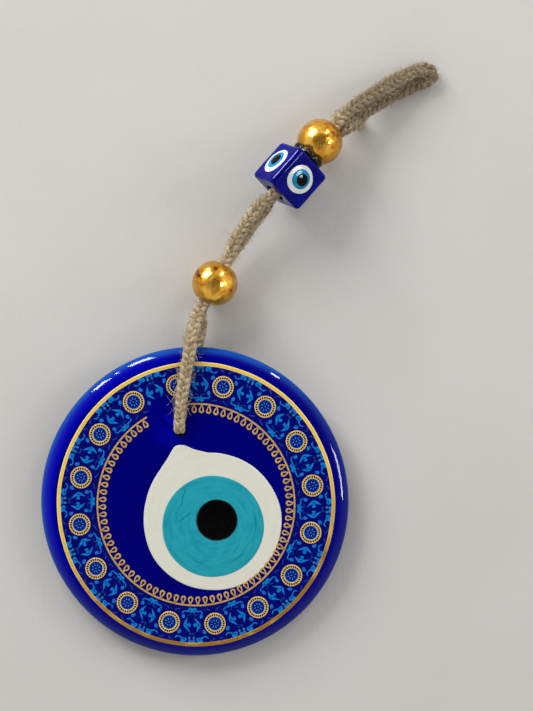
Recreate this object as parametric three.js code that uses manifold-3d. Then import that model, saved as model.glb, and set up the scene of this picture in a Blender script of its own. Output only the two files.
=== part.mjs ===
// Evil eye wall ornament: a cobalt glass disc with a layered eye and a printed border,
// hung on a plaited jute cord that carries two gold beads, a cube bead and a bead cap.
// Units are millimetres, +Z is up. The ornament lies face up on a table at z = 0.
// The origin is under the middle of the glass disc.

import * as THREE from 'three';
import { mergeVertices } from 'three/addons/utils/BufferGeometryUtils.js';
import { RoundedBoxGeometry } from 'three/addons/geometries/RoundedBoxGeometry.js';
import Module from 'manifold-3d';

const wasm = await Module();
wasm.setup();

// ---------------------------------------------------------------- driving sizes

const gap = 0.3; // clearance between pieces that touch or turn on each other

const disc = { radius: 60, thickness: 7, topRound: 3, backRound: 2, segments: 64 };
const holeDiameter = 5.8;
const holeShare = { x: -0.092, y: 0.46 }; // the hole's place, as a share of the disc's radius
const crater = { x: -4.5, y: 3.6, halfWidth: 8.2, halfLength: 9.4, depth: 1.1 }; // from the hole

const print = { x: 0.4, y: -0.7, film: 0.2, lineDepth: 0.7 };
const border = { share: 0.8983, width: 1.4 }; // share of the disc's radius
const lace = { share: 0.6483, width: 1.2, gapStart: 93, gapEnd: 121 }; // degrees from +X
const medallion = { count: 16, firstAngle: 76.8, share: 0.322 }; // share of the band's width

const dropShare = { x: 0.117, y: -0.125 };
const dropToLace = 2;
const dropDepth = 2.3;
const dropTip = { left: [-2.5, -4.8], right: [2.1, -5.2] }; // measured from the hole
const iris = { x: 0.3, y: -1.7, share: 0.727, depth: 1.4 }; // from the drop, share of its radius
const pupil = { x: 1.4, y: 2.3, share: 0.395, depth: 0.7 }; // from the iris, share of its radius

const cord = { diameter: 3.4, sides: 8 };
const bead = { radius: 8.85, segments: 28 };
const cube = { side: 17.4, edgeRound: 1.5, roll: 31, heading: 49, slope: 5 };
const cap = { radius: 6.2, lip: 0.5, facets: 14 };
const eyeLayers = [
  { name: 'white', radius: 5.6, thickness: 1.4, sink: 0.9, color: 0xe8e6dc },
  { name: 'blue', radius: 3.6, thickness: 0.9, sink: 0, color: 0x1f86b4 },
  { name: 'black', radius: 2.3, thickness: 0.5, sink: -0.7, color: 0x050507 },
];

// ---------------------------------------------------------------- worked-out sizes

const hole = { x: disc.radius * holeShare.x, y: disc.radius * holeShare.y, diameter: holeDiameter };
const borderRadius = disc.radius * border.share;
const laceRadius = disc.radius * lace.share;
const bandInner = laceRadius + lace.width / 2 + 2 * gap;
const bandOuter = borderRadius - border.width / 2 - 2 * gap;
const medallionRing = (bandInner + bandOuter) / 2;
const medallionRadius = (bandOuter - bandInner) * medallion.share;

const dropX = disc.radius * dropShare.x;
const dropY = disc.radius * dropShare.y;
const dropReach = laceRadius - lace.width / 2 - dropToLace;
const dropRadius = dropReach - Math.hypot(dropX - print.x, dropY - print.y);
const irisX = dropX + iris.x;
const irisY = dropY + iris.y;
const irisRadius = dropRadius * iris.share;
const pupilX = irisX + pupil.x;
const pupilY = irisY + pupil.y;
const pupilRadius = irisRadius * pupil.share;

const cordRadius = cord.diameter / 2;
const strandSpacing = cord.diameter + gap; // two strands lie on each other in the bores
const strandSplay = 0.9; // between the beads each strand lies this far to its own side
const boreRadius = strandSpacing / 2 + cordRadius + gap;
const mouthOffset = Math.sqrt(bead.radius ** 2 - boreRadius ** 2);

// The strand under the disc props its upper part: the back face clears it at the hole.
const restRadius = disc.radius - disc.backRound;
const tilt = Math.atan((cord.diameter + 2 * gap) / (hole.y + restRadius));

const radians = THREE.MathUtils.degToRad;
const cubeHalf = cube.side / 2;
const heading = radians(cube.heading);
const slope = radians(cube.slope);
const roll = radians(cube.roll);
const upperAxis = new THREE.Vector3(
  Math.cos(heading) * Math.cos(slope),
  Math.sin(heading) * Math.cos(slope),
  -Math.sin(slope),
);
const upperSide = new THREE.Vector3(Math.sin(heading), -Math.cos(heading), 0);
const upperRise = new THREE.Vector3().crossVectors(upperSide, upperAxis);
const cubeHeight = cubeHalf * ((Math.cos(roll) + Math.sin(roll)) * Math.cos(slope) + Math.sin(slope));

const lowerAxis = new THREE.Vector3(0.475, 0.88, 0).normalize();
const lowerBeadCentre = new THREE.Vector3(7.9, 85.1, bead.radius + 0.05);
const cubeCentre = new THREE.Vector3(37, 126.2, cubeHeight);
const faceToBead = gap + cap.lip + Math.sqrt((bead.radius + gap) ** 2 - boreRadius ** 2);
const upperBeadCentre = cubeCentre.clone().addScaledVector(upperAxis, cubeHalf + faceToBead);

// ---------------------------------------------------------------- shape helpers

/** Turns a geometry into a manifold solid, with its shared vertices merged. */
function toSolid(geometry) {
  const bare = geometry.index ? geometry.toNonIndexed() : geometry.clone();
  bare.deleteAttribute('normal');
  bare.deleteAttribute('uv');
  const merged = mergeVertices(bare, 1e-4);
  const index = merged.index.array;
  const triangles = [];
  for (let i = 0; i < index.length; i += 3) {
    const [a, b, c] = [index[i], index[i + 1], index[i + 2]];
    if (a !== b && b !== c && c !== a) triangles.push(a, b, c);
  }
  const mesh = new wasm.Mesh({
    numProp: 3,
    vertProperties: new Float32Array(merged.attributes.position.array),
    triVerts: new Uint32Array(triangles),
  });
  return new wasm.Manifold(mesh);
}

/** Turns a manifold solid back into a geometry. */
function toGeometry(solid) {
  const mesh = solid.getMesh();
  const geometry = new THREE.BufferGeometry();
  geometry.setAttribute('position', new THREE.BufferAttribute(mesh.vertProperties, 3));
  geometry.setIndex(new THREE.BufferAttribute(mesh.triVerts, 1));
  return geometry;
}

/** Cuts every tool geometry out of a body geometry. */
function cut(body, tools) {
  return toGeometry(tools.reduce((left, tool) => left.subtract(toSolid(tool)), toSolid(body)));
}

/** Turns a closed profile of [radius, height] points about the Z axis. */
function turned(profile, segments) {
  const points = profile.map(([radius, height]) => new THREE.Vector2(radius, height));
  return new THREE.LatheGeometry(points, segments).rotateX(Math.PI / 2);
}

/** Extrudes a flat shape from one height to another. */
function plate(shape, bottom, top, curveSegments = 32) {
  const options = { depth: top - bottom, bevelEnabled: false, curveSegments };
  return new THREE.ExtrudeGeometry(shape, options).translate(0, 0, bottom);
}

/** A round disc shape. */
function roundShape(x, y, radius) {
  return new THREE.Shape().absarc(x, y, radius, 0, 2 * Math.PI);
}

/** A full ring shape, or the part of a ring between two angles. */
function ringShape(x, y, inner, outer) {
  const shape = roundShape(x, y, outer);
  shape.holes.push(roundShape(x, y, inner));
  return shape;
}

function ringArcShape(x, y, inner, outer, start, end) {
  const shape = new THREE.Shape();
  shape.absarc(x, y, outer, start, end, false);
  shape.absarc(x, y, inner, end, start, true);
  shape.closePath();
  return shape;
}

/** Points on a quarter arc of a profile, from one angle to another. */
function profileArc(centreRadius, centreHeight, radius, from, to, steps) {
  return Array.from({ length: steps + 1 }, (_, i) => {
    const angle = radians(from + ((to - from) * i) / steps);
    return [centreRadius + radius * Math.cos(angle), centreHeight + radius * Math.sin(angle)];
  });
}

/** A round cord along a curve. */
function tube(path, steps) {
  const section = new THREE.Shape();
  for (let i = 0; i < cord.sides; i += 1) {
    const angle = (2 * Math.PI * i) / cord.sides;
    const [x, y] = [cordRadius * Math.cos(angle), cordRadius * Math.sin(angle)];
    if (i === 0) section.moveTo(x, y);
    else section.lineTo(x, y);
  }
  section.closePath();
  return new THREE.ExtrudeGeometry(section, { steps, bevelEnabled: false, extrudePath: path });
}

function piece(name, geometry, color, roughness = 0.4, metalness = 0) {
  const material = new THREE.MeshStandardMaterial({ color, roughness, metalness });
  const mesh = new THREE.Mesh(geometry, material);
  mesh.name = name;
  return mesh;
}

// ---------------------------------------------------------------- the glass disc

const discProfile = [
  [0, 0],
  ...profileArc(disc.radius - disc.backRound, disc.backRound, disc.backRound, -90, 0, 3),
  ...profileArc(disc.radius - disc.topRound, disc.thickness - disc.topRound, disc.topRound, 0, 90, 4),
  [0, disc.thickness],
];

/** The eye's white: a round drop with a cut-off tip that points at the hole. */
function dropShape(grow = 0) {
  const radius = dropRadius + grow;
  const [startAngle, endAngle] = [radians(163), radians(93 + 360)];
  const at = ([x, y]) => {
    const [fromDropX, fromDropY] = [hole.x + x - dropX, hole.y + y - dropY];
    const distance = Math.hypot(fromDropX, fromDropY);
    const reach = (distance + grow) / distance;
    return [dropX + fromDropX * reach, dropY + fromDropY * reach];
  };
  const onCircle = (angle, r) => [dropX + r * Math.cos(angle), dropY + r * Math.sin(angle)];
  const shape = new THREE.Shape();
  shape.absarc(dropX, dropY, radius, startAngle, endAngle, false);
  shape.quadraticCurveTo(...onCircle(radians(102.5), radius * 1.035), ...at(dropTip.right));
  shape.lineTo(...at(dropTip.left));
  shape.quadraticCurveTo(...onCircle(radians(136), radius * 1.045), ...onCircle(startAngle, radius));
  return shape;
}

const top = disc.thickness;
const over = top + 1; // cutters end above the face
const filmFloor = top - 2 * gap - 2 * print.film;
const lineFloor = top - gap - print.lineDepth;
const laceSpan = [radians(lace.gapEnd), radians(lace.gapStart + 360)];
const laceClearance = gap / laceRadius;

function ringAt(radius, width, grow = 0) {
  return ringShape(print.x, print.y, radius - width / 2 - grow, radius + width / 2 + grow);
}

function laceShape(grow = 0) {
  const turn = grow > 0 ? laceClearance : 0;
  const [inner, outer] = [laceRadius - lace.width / 2 - grow, laceRadius + lace.width / 2 + grow];
  return ringArcShape(print.x, print.y, inner, outer, laceSpan[0] - turn, laceSpan[1] + turn);
}

function glassDisc() {
  const holeCutter = new THREE.CylinderGeometry(hole.diameter / 2, hole.diameter / 2, 3 * top, 32)
    .rotateX(Math.PI / 2)
    .translate(hole.x, hole.y, 0);
  const craterRadius = (crater.halfWidth ** 2 + crater.depth ** 2) / (2 * crater.depth);
  const craterCutter = new THREE.SphereGeometry(craterRadius, 48, 48)
    .scale(1, crater.halfLength / crater.halfWidth, 1)
    .translate(hole.x + crater.x, hole.y + crater.y, top + craterRadius - crater.depth);
  return cut(turned(discProfile, disc.segments), [
    holeCutter,
    craterCutter,
    plate(dropShape(gap), top - dropDepth - gap, over),
    plate(ringAt(borderRadius, border.width, gap), lineFloor, over),
    plate(laceShape(gap), lineFloor, over),
    plate(ringShape(print.x, print.y, bandInner - gap / 2, bandOuter + gap / 2), filmFloor, over),
  ]);
}

function whiteDrop() {
  const pocket = plate(roundShape(irisX, irisY, irisRadius + gap), top - iris.depth - gap, over);
  return cut(plate(dropShape(), top - dropDepth, top), [pocket]);
}

function turquoiseIris() {
  const pocket = plate(roundShape(pupilX, pupilY, pupilRadius + gap), top - pupil.depth - gap, over);
  return cut(plate(roundShape(irisX, irisY, irisRadius), top - iris.depth, top), [pocket]);
}

const discGroup = new THREE.Group();
discGroup.add(
  piece('glass_disc', glassDisc(), 0x0a0a9a, 0.08),
  piece('white_drop', whiteDrop(), 0xd9d7ca, 0.15),
  piece('turquoise_iris', turquoiseIris(), 0x2f97a8, 0.15),
  piece('black_pupil', plate(roundShape(pupilX, pupilY, pupilRadius), top - pupil.depth, top), 0x040404, 0.1),
  piece('gold_border_line', plate(ringAt(borderRadius, border.width), lineFloor + gap, top), 0xe0b23c, 0.3, 0.8),
  piece('gold_lace_line', plate(laceShape(), lineFloor + gap, top), 0xd9a945, 0.3, 0.8),
  piece(
    'printed_band',
    plate(ringShape(print.x, print.y, bandInner, bandOuter), filmFloor + gap, filmFloor + gap + print.film),
    0x14106a,
    0.3,
  ),
);
for (let i = 0; i < medallion.count; i += 1) {
  const angle = radians(medallion.firstAngle - (360 * i) / medallion.count);
  const spot = roundShape(
    print.x + medallionRing * Math.cos(angle),
    print.y + medallionRing * Math.sin(angle),
    medallionRadius,
  );
  const name = `medallion_${String(i + 1).padStart(2, '0')}`;
  discGroup.add(piece(name, plate(spot, top - print.film, top, 12), 0xeccb8a, 0.35, 0.6));
}
discGroup.rotation.x = tilt;
discGroup.updateMatrixWorld(true);
const discBox = new THREE.Box3().setFromObject(discGroup, true);
const discMiddle = discBox.getCenter(new THREE.Vector3());
discGroup.position.set(-discMiddle.x, -discMiddle.y, -discBox.min.z);
discGroup.updateMatrixWorld(true);

// ---------------------------------------------------------------- the cord

/** A point of the cord over the disc's face, or under its back, at a place on the disc. */
function overFace(x, y) {
  return discGroup.localToWorld(new THREE.Vector3(x, y, top + gap + cordRadius));
}
function underBack(x, y) {
  return discGroup.localToWorld(new THREE.Vector3(x, y, -gap - cordRadius));
}

/** A point of the pair of strands: side +1 is the upper strand, -1 the lower one. */
function strand(x, y, z, side) {
  const [aside, ahead] = [-0.8 * side * strandSplay, 0.6 * side * strandSplay];
  return new THREE.Vector3(x + aside, y + ahead, z + (side * strandSpacing) / 2);
}
function onAxis(centre, axis, along, side, rise = new THREE.Vector3(0, 0, 1)) {
  return centre.clone().addScaledVector(axis, along).addScaledVector(rise, (side * strandSpacing) / 2);
}

const turnReach = 5; // the hole's turn runs this far out over the face and under the back

/** The stretch of the pair from the lower bead's mouth to past the upper bead. */
function threadedPoints(side) {
  return [
    onAxis(lowerBeadCentre, lowerAxis, -mouthOffset - 4, side),
    onAxis(lowerBeadCentre, lowerAxis, -mouthOffset, side),
    onAxis(lowerBeadCentre, lowerAxis, 0, side),
    onAxis(lowerBeadCentre, lowerAxis, mouthOffset, side),
    onAxis(lowerBeadCentre, lowerAxis, mouthOffset + 4, side),
    strand(17.3, 101.9, 9.8, side),
    strand(22, 108.7, 11, side),
    strand(26.4, 114.4, 12.2, side),
    onAxis(cubeCentre, upperAxis, -cubeHalf - 2.5, side, upperRise),
    onAxis(cubeCentre, upperAxis, -cubeHalf / 2, side, upperRise),
    onAxis(cubeCentre, upperAxis, cubeHalf / 2, side, upperRise),
    onAxis(upperBeadCentre, upperAxis, -mouthOffset / 2, side, upperRise),
    onAxis(upperBeadCentre, upperAxis, mouthOffset / 2, side, upperRise),
    onAxis(upperBeadCentre, upperAxis, mouthOffset + 1.5, side, upperRise),
  ];
}

const gluedEndDirection = new THREE.Vector3(0.875, 0.482, -0.04).normalize();
const gluedEnd = upperBeadCentre.clone().addScaledVector(gluedEndDirection, bead.radius + 3 * gap);

const frontRoute = [
  overFace(hole.x + 0.1, hole.y + turnReach + gap),
  overFace(-4.6, 42),
  overFace(-3.4, 49.5),
  overFace(-1.8, 57),
  new THREE.Vector3(-0.4, 66.7, 13.5),
  ...threadedPoints(1),
  new THREE.Vector3(57.6, 149.9, 11),
  new THREE.Vector3(63, 154.3, 10.2),
  new THREE.Vector3(72.6, 161.2, 8.3),
  new THREE.Vector3(81, 166.1, 6.2),
  new THREE.Vector3(87, 168.8, 4.6),
  new THREE.Vector3(90.6, 169.5, 3.7),
  new THREE.Vector3(93, 168.4, 3),
  new THREE.Vector3(93, 166.2, 2.5),
  new THREE.Vector3(90.8, 164.9, 2.2),
  new THREE.Vector3(87.3, 163.9, 2),
  new THREE.Vector3(81.7, 161.3, 2),
  new THREE.Vector3(75.7, 158.1, 3),
  new THREE.Vector3(69.9, 154.6, 4.9),
  new THREE.Vector3(65.8, 151.3, 6.8),
  new THREE.Vector3(62.5, 148.2, 8.4),
  gluedEnd.clone().addScaledVector(gluedEndDirection, 2.5),
  gluedEnd,
];

const backRoute = [
  underBack(hole.x + 0.1, hole.y + turnReach + gap),
  underBack(-4.2, 42),
  underBack(-2.6, 50),
  new THREE.Vector3(0.3, 60, 3.4),
  new THREE.Vector3(2.2, 67.8, 5.6),
  ...threadedPoints(-1),
  new THREE.Vector3(57.3, 149.1, 6.6),
  new THREE.Vector3(60.4, 149.6, 4.6),
  new THREE.Vector3(63.2, 148.8, 2.9),
  new THREE.Vector3(65.2, 147.7, 2.1),
];

/** The tight turn through the hole, round the edge of the glass on both faces. */
function holeTurn() {
  const reach = gap + cordRadius;
  const edge = hole.y + hole.diameter / 2;
  const x = hole.x;
  const local = (y, z) => new THREE.Vector3(x, y, z);
  const path = new THREE.CurvePath();
  const frontOut = local(hole.y + turnReach, top + reach);
  const frontBend = local(edge, top + reach);
  const frontIn = local(edge - reach, top);
  const backIn = local(edge - reach, 0);
  const backBend = local(edge, -reach);
  const backOut = local(hole.y + turnReach, -reach);
  path.add(new THREE.LineCurve3(frontOut, frontBend));
  path.add(new THREE.QuadraticBezierCurve3(frontBend, local(edge - reach, top + reach), frontIn));
  path.add(new THREE.LineCurve3(frontIn, backIn));
  path.add(new THREE.QuadraticBezierCurve3(backIn, local(edge - reach, -reach), backBend));
  path.add(new THREE.LineCurve3(backBend, backOut));
  return tube(path, 24).applyMatrix4(discGroup.matrixWorld);
}

const jute = 0xb59a72;
const frontCurve = new THREE.CatmullRomCurve3(frontRoute, false, 'centripetal');
const backCurve = new THREE.CatmullRomCurve3(backRoute, false, 'centripetal');
const cordGroup = new THREE.Group();
cordGroup.add(
  piece('cord_front_and_loop', tube(frontCurve, 80), jute, 0.9),
  piece('cord_hole_turn', holeTurn(), jute, 0.9),
  piece('cord_back_and_tail', tube(backCurve, 50), jute, 0.9),
);

// ---------------------------------------------------------------- the beads on the cord

/** Places a piece made along Z so that Z runs along an axis through a centre. */
function place(object, centre, axis, face) {
  const across = new THREE.Vector3().crossVectors(face, axis).normalize();
  const up = new THREE.Vector3().crossVectors(axis, across);
  object.quaternion.setFromRotationMatrix(new THREE.Matrix4().makeBasis(across, up, axis));
  object.position.copy(centre);
  return object;
}

function roundBead() {
  const mouth = THREE.MathUtils.radToDeg(Math.atan2(mouthOffset, boreRadius));
  const profile = profileArc(0, 0, bead.radius, -mouth, mouth, 12);
  return turned([...profile, profile[0]], bead.segments);
}

/** The bead cap: flat towards the cube, hollowed to the round bead on the other side. */
function capGeometry() {
  const seat = (radius) => faceToBead - Math.sqrt((bead.radius + gap) ** 2 - radius ** 2);
  const inner = boreRadius;
  const hollow = [cap.radius, (cap.radius + inner) / 2, inner];
  const profile = [
    [inner, gap],
    [cap.radius, gap],
    ...hollow.map((radius) => [radius, seat(radius)]),
    [inner, gap],
  ];
  return turned(profile, cap.facets).translate(0, 0, cubeHalf);
}

/** One eye layer: a round plate with a pocket for the next layer. It stands along +Y. */
function eyeLayer(layer, next) {
  const bottom = cubeHalf - layer.sink;
  const brow = bottom + layer.thickness;
  const rounding = 0.25;
  const profile = [
    [0, bottom],
    [layer.radius, bottom],
    [layer.radius, brow - rounding],
    [layer.radius - rounding, brow],
  ];
  if (next) {
    const floor = cubeHalf - next.sink - gap;
    profile.push([next.radius + gap, brow], [next.radius + gap, floor], [0, floor]);
  } else {
    profile.push([0, brow + rounding]);
  }
  return turned(profile, 20).rotateX(-Math.PI / 2);
}

function cubeBody() {
  const [first] = eyeLayers;
  const pocketDepth = first.sink + gap;
  const cutters = [
    new THREE.CylinderGeometry(boreRadius, boreRadius, 2 * cube.side, 36).rotateX(Math.PI / 2),
  ];
  for (let face = 0; face < 4; face += 1) {
    const pocketRadius = first.radius + gap;
    const pocket = new THREE.CylinderGeometry(pocketRadius, pocketRadius, 2 * pocketDepth, 32);
    cutters.push(pocket.translate(0, cubeHalf, 0).rotateZ((face * Math.PI) / 2));
  }
  return cut(new RoundedBoxGeometry(cube.side, cube.side, cube.side, 3, cube.edgeRound), cutters);
}

const beadGold = 0xd09a2c;
const lowerBead = piece('lower_gold_bead', roundBead(), beadGold, 0.2, 0.9);
place(lowerBead, lowerBeadCentre, lowerAxis, new THREE.Vector3(0, 0, 1));
const upperBead = piece('upper_gold_bead', roundBead(), beadGold, 0.2, 0.9);
place(upperBead, upperBeadCentre, upperAxis, upperRise);
const beadCap = piece('black_bead_cap', capGeometry(), 0x0c0c12, 0.25, 0.3);
place(beadCap, cubeCentre, upperAxis, upperRise);

const eyeFace = upperRise
  .clone()
  .multiplyScalar(Math.cos(roll))
  .addScaledVector(upperSide, Math.sin(roll));
const cubeGroup = new THREE.Group();
cubeGroup.add(piece('cube_bead', cubeBody(), 0x06066e, 0.1));
for (let face = 0; face < 4; face += 1) {
  eyeLayers.forEach((layer, level) => {
    const geometry = eyeLayer(layer, eyeLayers[level + 1]).rotateZ((face * Math.PI) / 2);
    cubeGroup.add(piece(`cube_eye_${layer.name}_${face + 1}`, geometry, layer.color, 0.15));
  });
}
place(cubeGroup, cubeCentre, upperAxis, eyeFace);

const ornament = new THREE.Group();
ornament.add(discGroup, cordGroup, lowerBead, cubeGroup, beadCap, upperBead);

export default ornament;
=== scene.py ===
import logging
import math
from dataclasses import dataclass, field
from enum import Enum

import bpy
import numpy as np
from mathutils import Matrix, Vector


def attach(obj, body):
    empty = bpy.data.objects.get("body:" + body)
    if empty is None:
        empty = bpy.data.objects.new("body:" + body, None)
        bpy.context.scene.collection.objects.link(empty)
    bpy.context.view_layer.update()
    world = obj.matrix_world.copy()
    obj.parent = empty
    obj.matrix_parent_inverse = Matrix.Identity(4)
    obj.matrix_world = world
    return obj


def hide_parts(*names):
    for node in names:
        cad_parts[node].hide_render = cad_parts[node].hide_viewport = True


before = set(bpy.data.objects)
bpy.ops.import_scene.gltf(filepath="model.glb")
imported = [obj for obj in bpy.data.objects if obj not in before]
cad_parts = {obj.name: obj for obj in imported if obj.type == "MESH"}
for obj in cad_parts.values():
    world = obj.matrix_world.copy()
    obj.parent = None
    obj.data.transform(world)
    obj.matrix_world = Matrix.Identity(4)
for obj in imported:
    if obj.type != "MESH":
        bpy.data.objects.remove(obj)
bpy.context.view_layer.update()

LOG = logging.getLogger("evil_eye_ornament")
TURN = 2.0 * math.pi
Color = tuple[float, float, float]


# ---------------------------------------------------------------- mesh making


def unit(vectors: np.ndarray) -> np.ndarray:
    """Scales each vector along the last axis to length one."""
    return vectors / np.linalg.norm(vectors, axis=-1, keepdims=True)


def grid_faces(rows: int, columns: int, wrap_rows: bool = False, wrap_columns: bool = False) -> np.ndarray:
    """Lists the quads of a grid of points.

    Args:
        rows: number of points along the first parameter.
        columns: number of points along the second parameter.
        wrap_rows: joins the last row to the first.
        wrap_columns: joins the last column to the first.

    Returns:
        An (n, 4) array of point numbers, where point (i, j) has number i * columns + j.
    """
    i = np.arange(rows if wrap_rows else rows - 1)[:, None]
    j = np.arange(columns if wrap_columns else columns - 1)[None, :]
    i1, j1 = (i + 1) % rows, (j + 1) % columns
    corners = [i * columns + j, i1 * columns + j, i1 * columns + j1, i * columns + j1]
    return np.stack([np.broadcast_to(c, (i.size, j.size)).ravel() for c in corners], axis=1)


@dataclass
class Sheet:
    """Points and faces of one surface, with a finish number for each face.

    Attributes:
        points: (n, 3) array in metres.
        faces: arrays of faces, each (m, 3) or (m, 4).
        finishes: one finish number per entry of faces.
        extras: named per-point values, (n,) or (n, 3), that materials read.
    """

    points: np.ndarray
    faces: list[np.ndarray]
    finishes: list[int] = field(default_factory=list)
    extras: dict[str, np.ndarray] = field(default_factory=dict)

    def finish(self, number: int) -> "Sheet":
        """Gives every face one finish number."""
        self.finishes = [number] * len(self.faces)
        return self

    @staticmethod
    def joined(sheets: list["Sheet"]) -> "Sheet":
        """Joins surfaces into one, each keeping its own finish numbers."""
        starts = np.cumsum([0] + [len(s.points) for s in sheets])
        faces = [f + start for s, start in zip(sheets, starts) for f in s.faces]
        finishes = [n for s in sheets for n in (s.finishes or [0] * len(s.faces))]
        names = set().union(*(s.extras for s in sheets))
        extras = {n: np.concatenate([s.extras[n] for s in sheets]) for n in names}
        return Sheet(np.concatenate([s.points for s in sheets]), faces, finishes, extras)


def make_object(
    name: str, sheet: Sheet, materials: list[bpy.types.Material], smooth: bool = True
) -> bpy.types.Object:
    """Puts a surface into a new mesh object at the origin.

    Args:
        name: name of the piece.
        sheet: the surface.
        materials: one material per finish number.
        smooth: True for smooth shading.

    Returns:
        The new object, linked to the scene.
    """
    mesh = bpy.data.meshes.new(name)
    counts = np.concatenate([np.full(len(f), f.shape[1]) for f in sheet.faces])
    corners = np.concatenate([f.ravel() for f in sheet.faces])
    mesh.vertices.add(len(sheet.points))
    mesh.loops.add(len(corners))
    mesh.polygons.add(len(counts))
    mesh.vertices.foreach_set("co", sheet.points.astype(np.float32).ravel())
    mesh.loops.foreach_set("vertex_index", corners.astype(np.int32))
    mesh.polygons.foreach_set("loop_start", np.concatenate([[0], np.cumsum(counts)[:-1]]).astype(np.int32))
    numbers = np.concatenate(
        [np.full(len(f), n) for f, n in zip(sheet.faces, sheet.finishes or [0] * len(sheet.faces))]
    )
    for material in materials:
        mesh.materials.append(material)
    mesh.update(calc_edges=True)
    mesh.polygons.foreach_set("material_index", numbers.astype(np.int32))
    mesh.polygons.foreach_set("use_smooth", np.full(len(counts), smooth))
    for key, values in sheet.extras.items():
        kind, slot = ("FLOAT_VECTOR", "vector") if values.ndim == 2 else ("FLOAT", "value")
        layer = mesh.attributes.new(key, kind, "POINT")
        layer.data.foreach_set(slot, values.astype(np.float32).ravel())
    mesh.update()
    obj = bpy.data.objects.new(name, mesh)
    bpy.context.scene.collection.objects.link(obj)
    return obj


def turned_points(profile: np.ndarray, segments: int) -> np.ndarray:
    """Turns a profile about the Z axis: point (i, j) is profile i at angle j of a full turn.

    Args:
        profile: (n, 2) array of radius and height.
        segments: number of steps round the axis.

    Returns:
        An (n, segments, 3) array of points.
    """
    angles = TURN * np.arange(segments) / segments
    radius, height = profile[:, :1], profile[:, 1:]
    return np.stack(
        [radius * np.cos(angles), radius * np.sin(angles), np.broadcast_to(height, (len(profile), segments))],
        axis=2,
    )


def arc(center: tuple[float, float], radius: float, start: float, end: float, steps: int) -> np.ndarray:
    """Points on a circular arc from one angle to another, in degrees."""
    angles = np.radians(np.linspace(start, end, steps + 1))
    return np.stack([center[0] + radius * np.cos(angles), center[1] + radius * np.sin(angles)], axis=1)


# ---------------------------------------------------------------- finishes


class Shader:
    """A material under construction, with its Principled shader."""

    def __init__(self, name: str) -> None:
        """Starts a material with an empty Principled shader."""
        self.material = bpy.data.materials.new(name)
        self.material.use_nodes = True
        self.tree = self.material.node_tree
        self.surface = self.tree.nodes["Principled BSDF"]

    def set(self, **values: float | Color) -> None:
        """Sets constants on the shader's own sockets; coat_weight stands for Coat Weight."""
        for key, value in values.items():
            name = key.replace("_", " ").title().replace("Ior", "IOR")
            is_color = isinstance(value, tuple)
            self.surface.inputs[name].default_value = (*value, 1.0) if is_color else value

    def node(self, kind: str, inputs: dict[str, object] | None = None, **settings: object) -> bpy.types.Node:
        """Adds a node, sets its properties, and links or sets its inputs.

        Args:
            kind: the node's type without the ShaderNode prefix.
            inputs: socket names or numbers with an output to link or a value to set.
            settings: properties of the node.

        Returns:
            The new node.
        """
        made = self.tree.nodes.new("ShaderNode" + kind)
        for key, value in settings.items():
            setattr(made, key, value)
        for key, value in (inputs or {}).items():
            socket = made.inputs[key]
            if isinstance(value, bpy.types.NodeSocket):
                self.tree.links.new(value, socket)
            else:
                socket.default_value = value
        return made

    def place(self) -> bpy.types.NodeSocket:
        """The place on the object, in metres."""
        return self.node("TexCoord").outputs["Object"]

    def extra(self, name: str, vector: bool = False) -> bpy.types.NodeSocket:
        """A named value stored on the mesh."""
        made = self.node("Attribute", attribute_name=name)
        return made.outputs["Vector" if vector else "Fac"]

    def noise(
        self, vector: bpy.types.NodeSocket, scale: float, detail: float = 3.0, rough: float = 0.5
    ) -> bpy.types.NodeSocket:
        """A noise value from 0 to 1 at a place."""
        inputs = {"Vector": vector, "Scale": scale, "Detail": detail, "Roughness": rough}
        return self.node("TexNoise", inputs).outputs[0]

    def scaled(self, vector: bpy.types.NodeSocket, scale: Color) -> bpy.types.NodeSocket:
        """A place stretched along its axes."""
        return self.node("Mapping", {"Vector": vector, "Scale": scale}).outputs[0]

    def ramp(self, value: bpy.types.NodeSocket, stops: list[tuple[float, Color]]) -> bpy.types.NodeSocket:
        """A colour that follows a value through a list of stops."""
        made = self.node("ValToRGB", {"Fac": value})
        elements = made.color_ramp.elements
        while len(elements) < len(stops):
            elements.new(0.5)
        for element, (position, color) in zip(elements, stops):
            element.position = position
            element.color = (*color, 1.0)
        return made.outputs["Color"]

    def math(self, operation: str, a: object, b: object, clamp: bool = False) -> bpy.types.NodeSocket:
        """One arithmetic step on two values."""
        return self.node("Math", {0: a, 1: b}, operation=operation, use_clamp=clamp).outputs[0]

    def mix(self, factor: object, a: object, b: object) -> bpy.types.NodeSocket:
        """A colour between two colours."""
        made = self.node("Mix", {0: factor}, data_type="RGBA")
        for number, value in ((6, a), (7, b)):
            if isinstance(value, bpy.types.NodeSocket):
                self.tree.links.new(value, made.inputs[number])
            else:
                made.inputs[number].default_value = (*value, 1.0)
        return made.outputs[2]

    def paint(self, color: bpy.types.NodeSocket) -> None:
        """Links a colour to the shader."""
        self.tree.links.new(color, self.surface.inputs["Base Color"])

    def rough(self, value: bpy.types.NodeSocket, low: float, high: float) -> None:
        """Lets the roughness follow a value between two limits."""
        made = self.node("MapRange", {0: value, 3: low, 4: high})
        self.tree.links.new(made.outputs[0], self.surface.inputs["Roughness"])

    def bump(self, height: bpy.types.NodeSocket, strength: float, distance: float) -> None:
        """Adds fine relief, on top of any that is there; distance is in metres."""
        made = self.node("Bump", {"Height": height, "Strength": strength, "Distance": distance})
        socket = self.surface.inputs["Normal"]
        if socket.is_linked:
            self.tree.links.new(socket.links[0].from_socket, made.inputs["Normal"])
        self.tree.links.new(made.outputs[0], socket)


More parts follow.
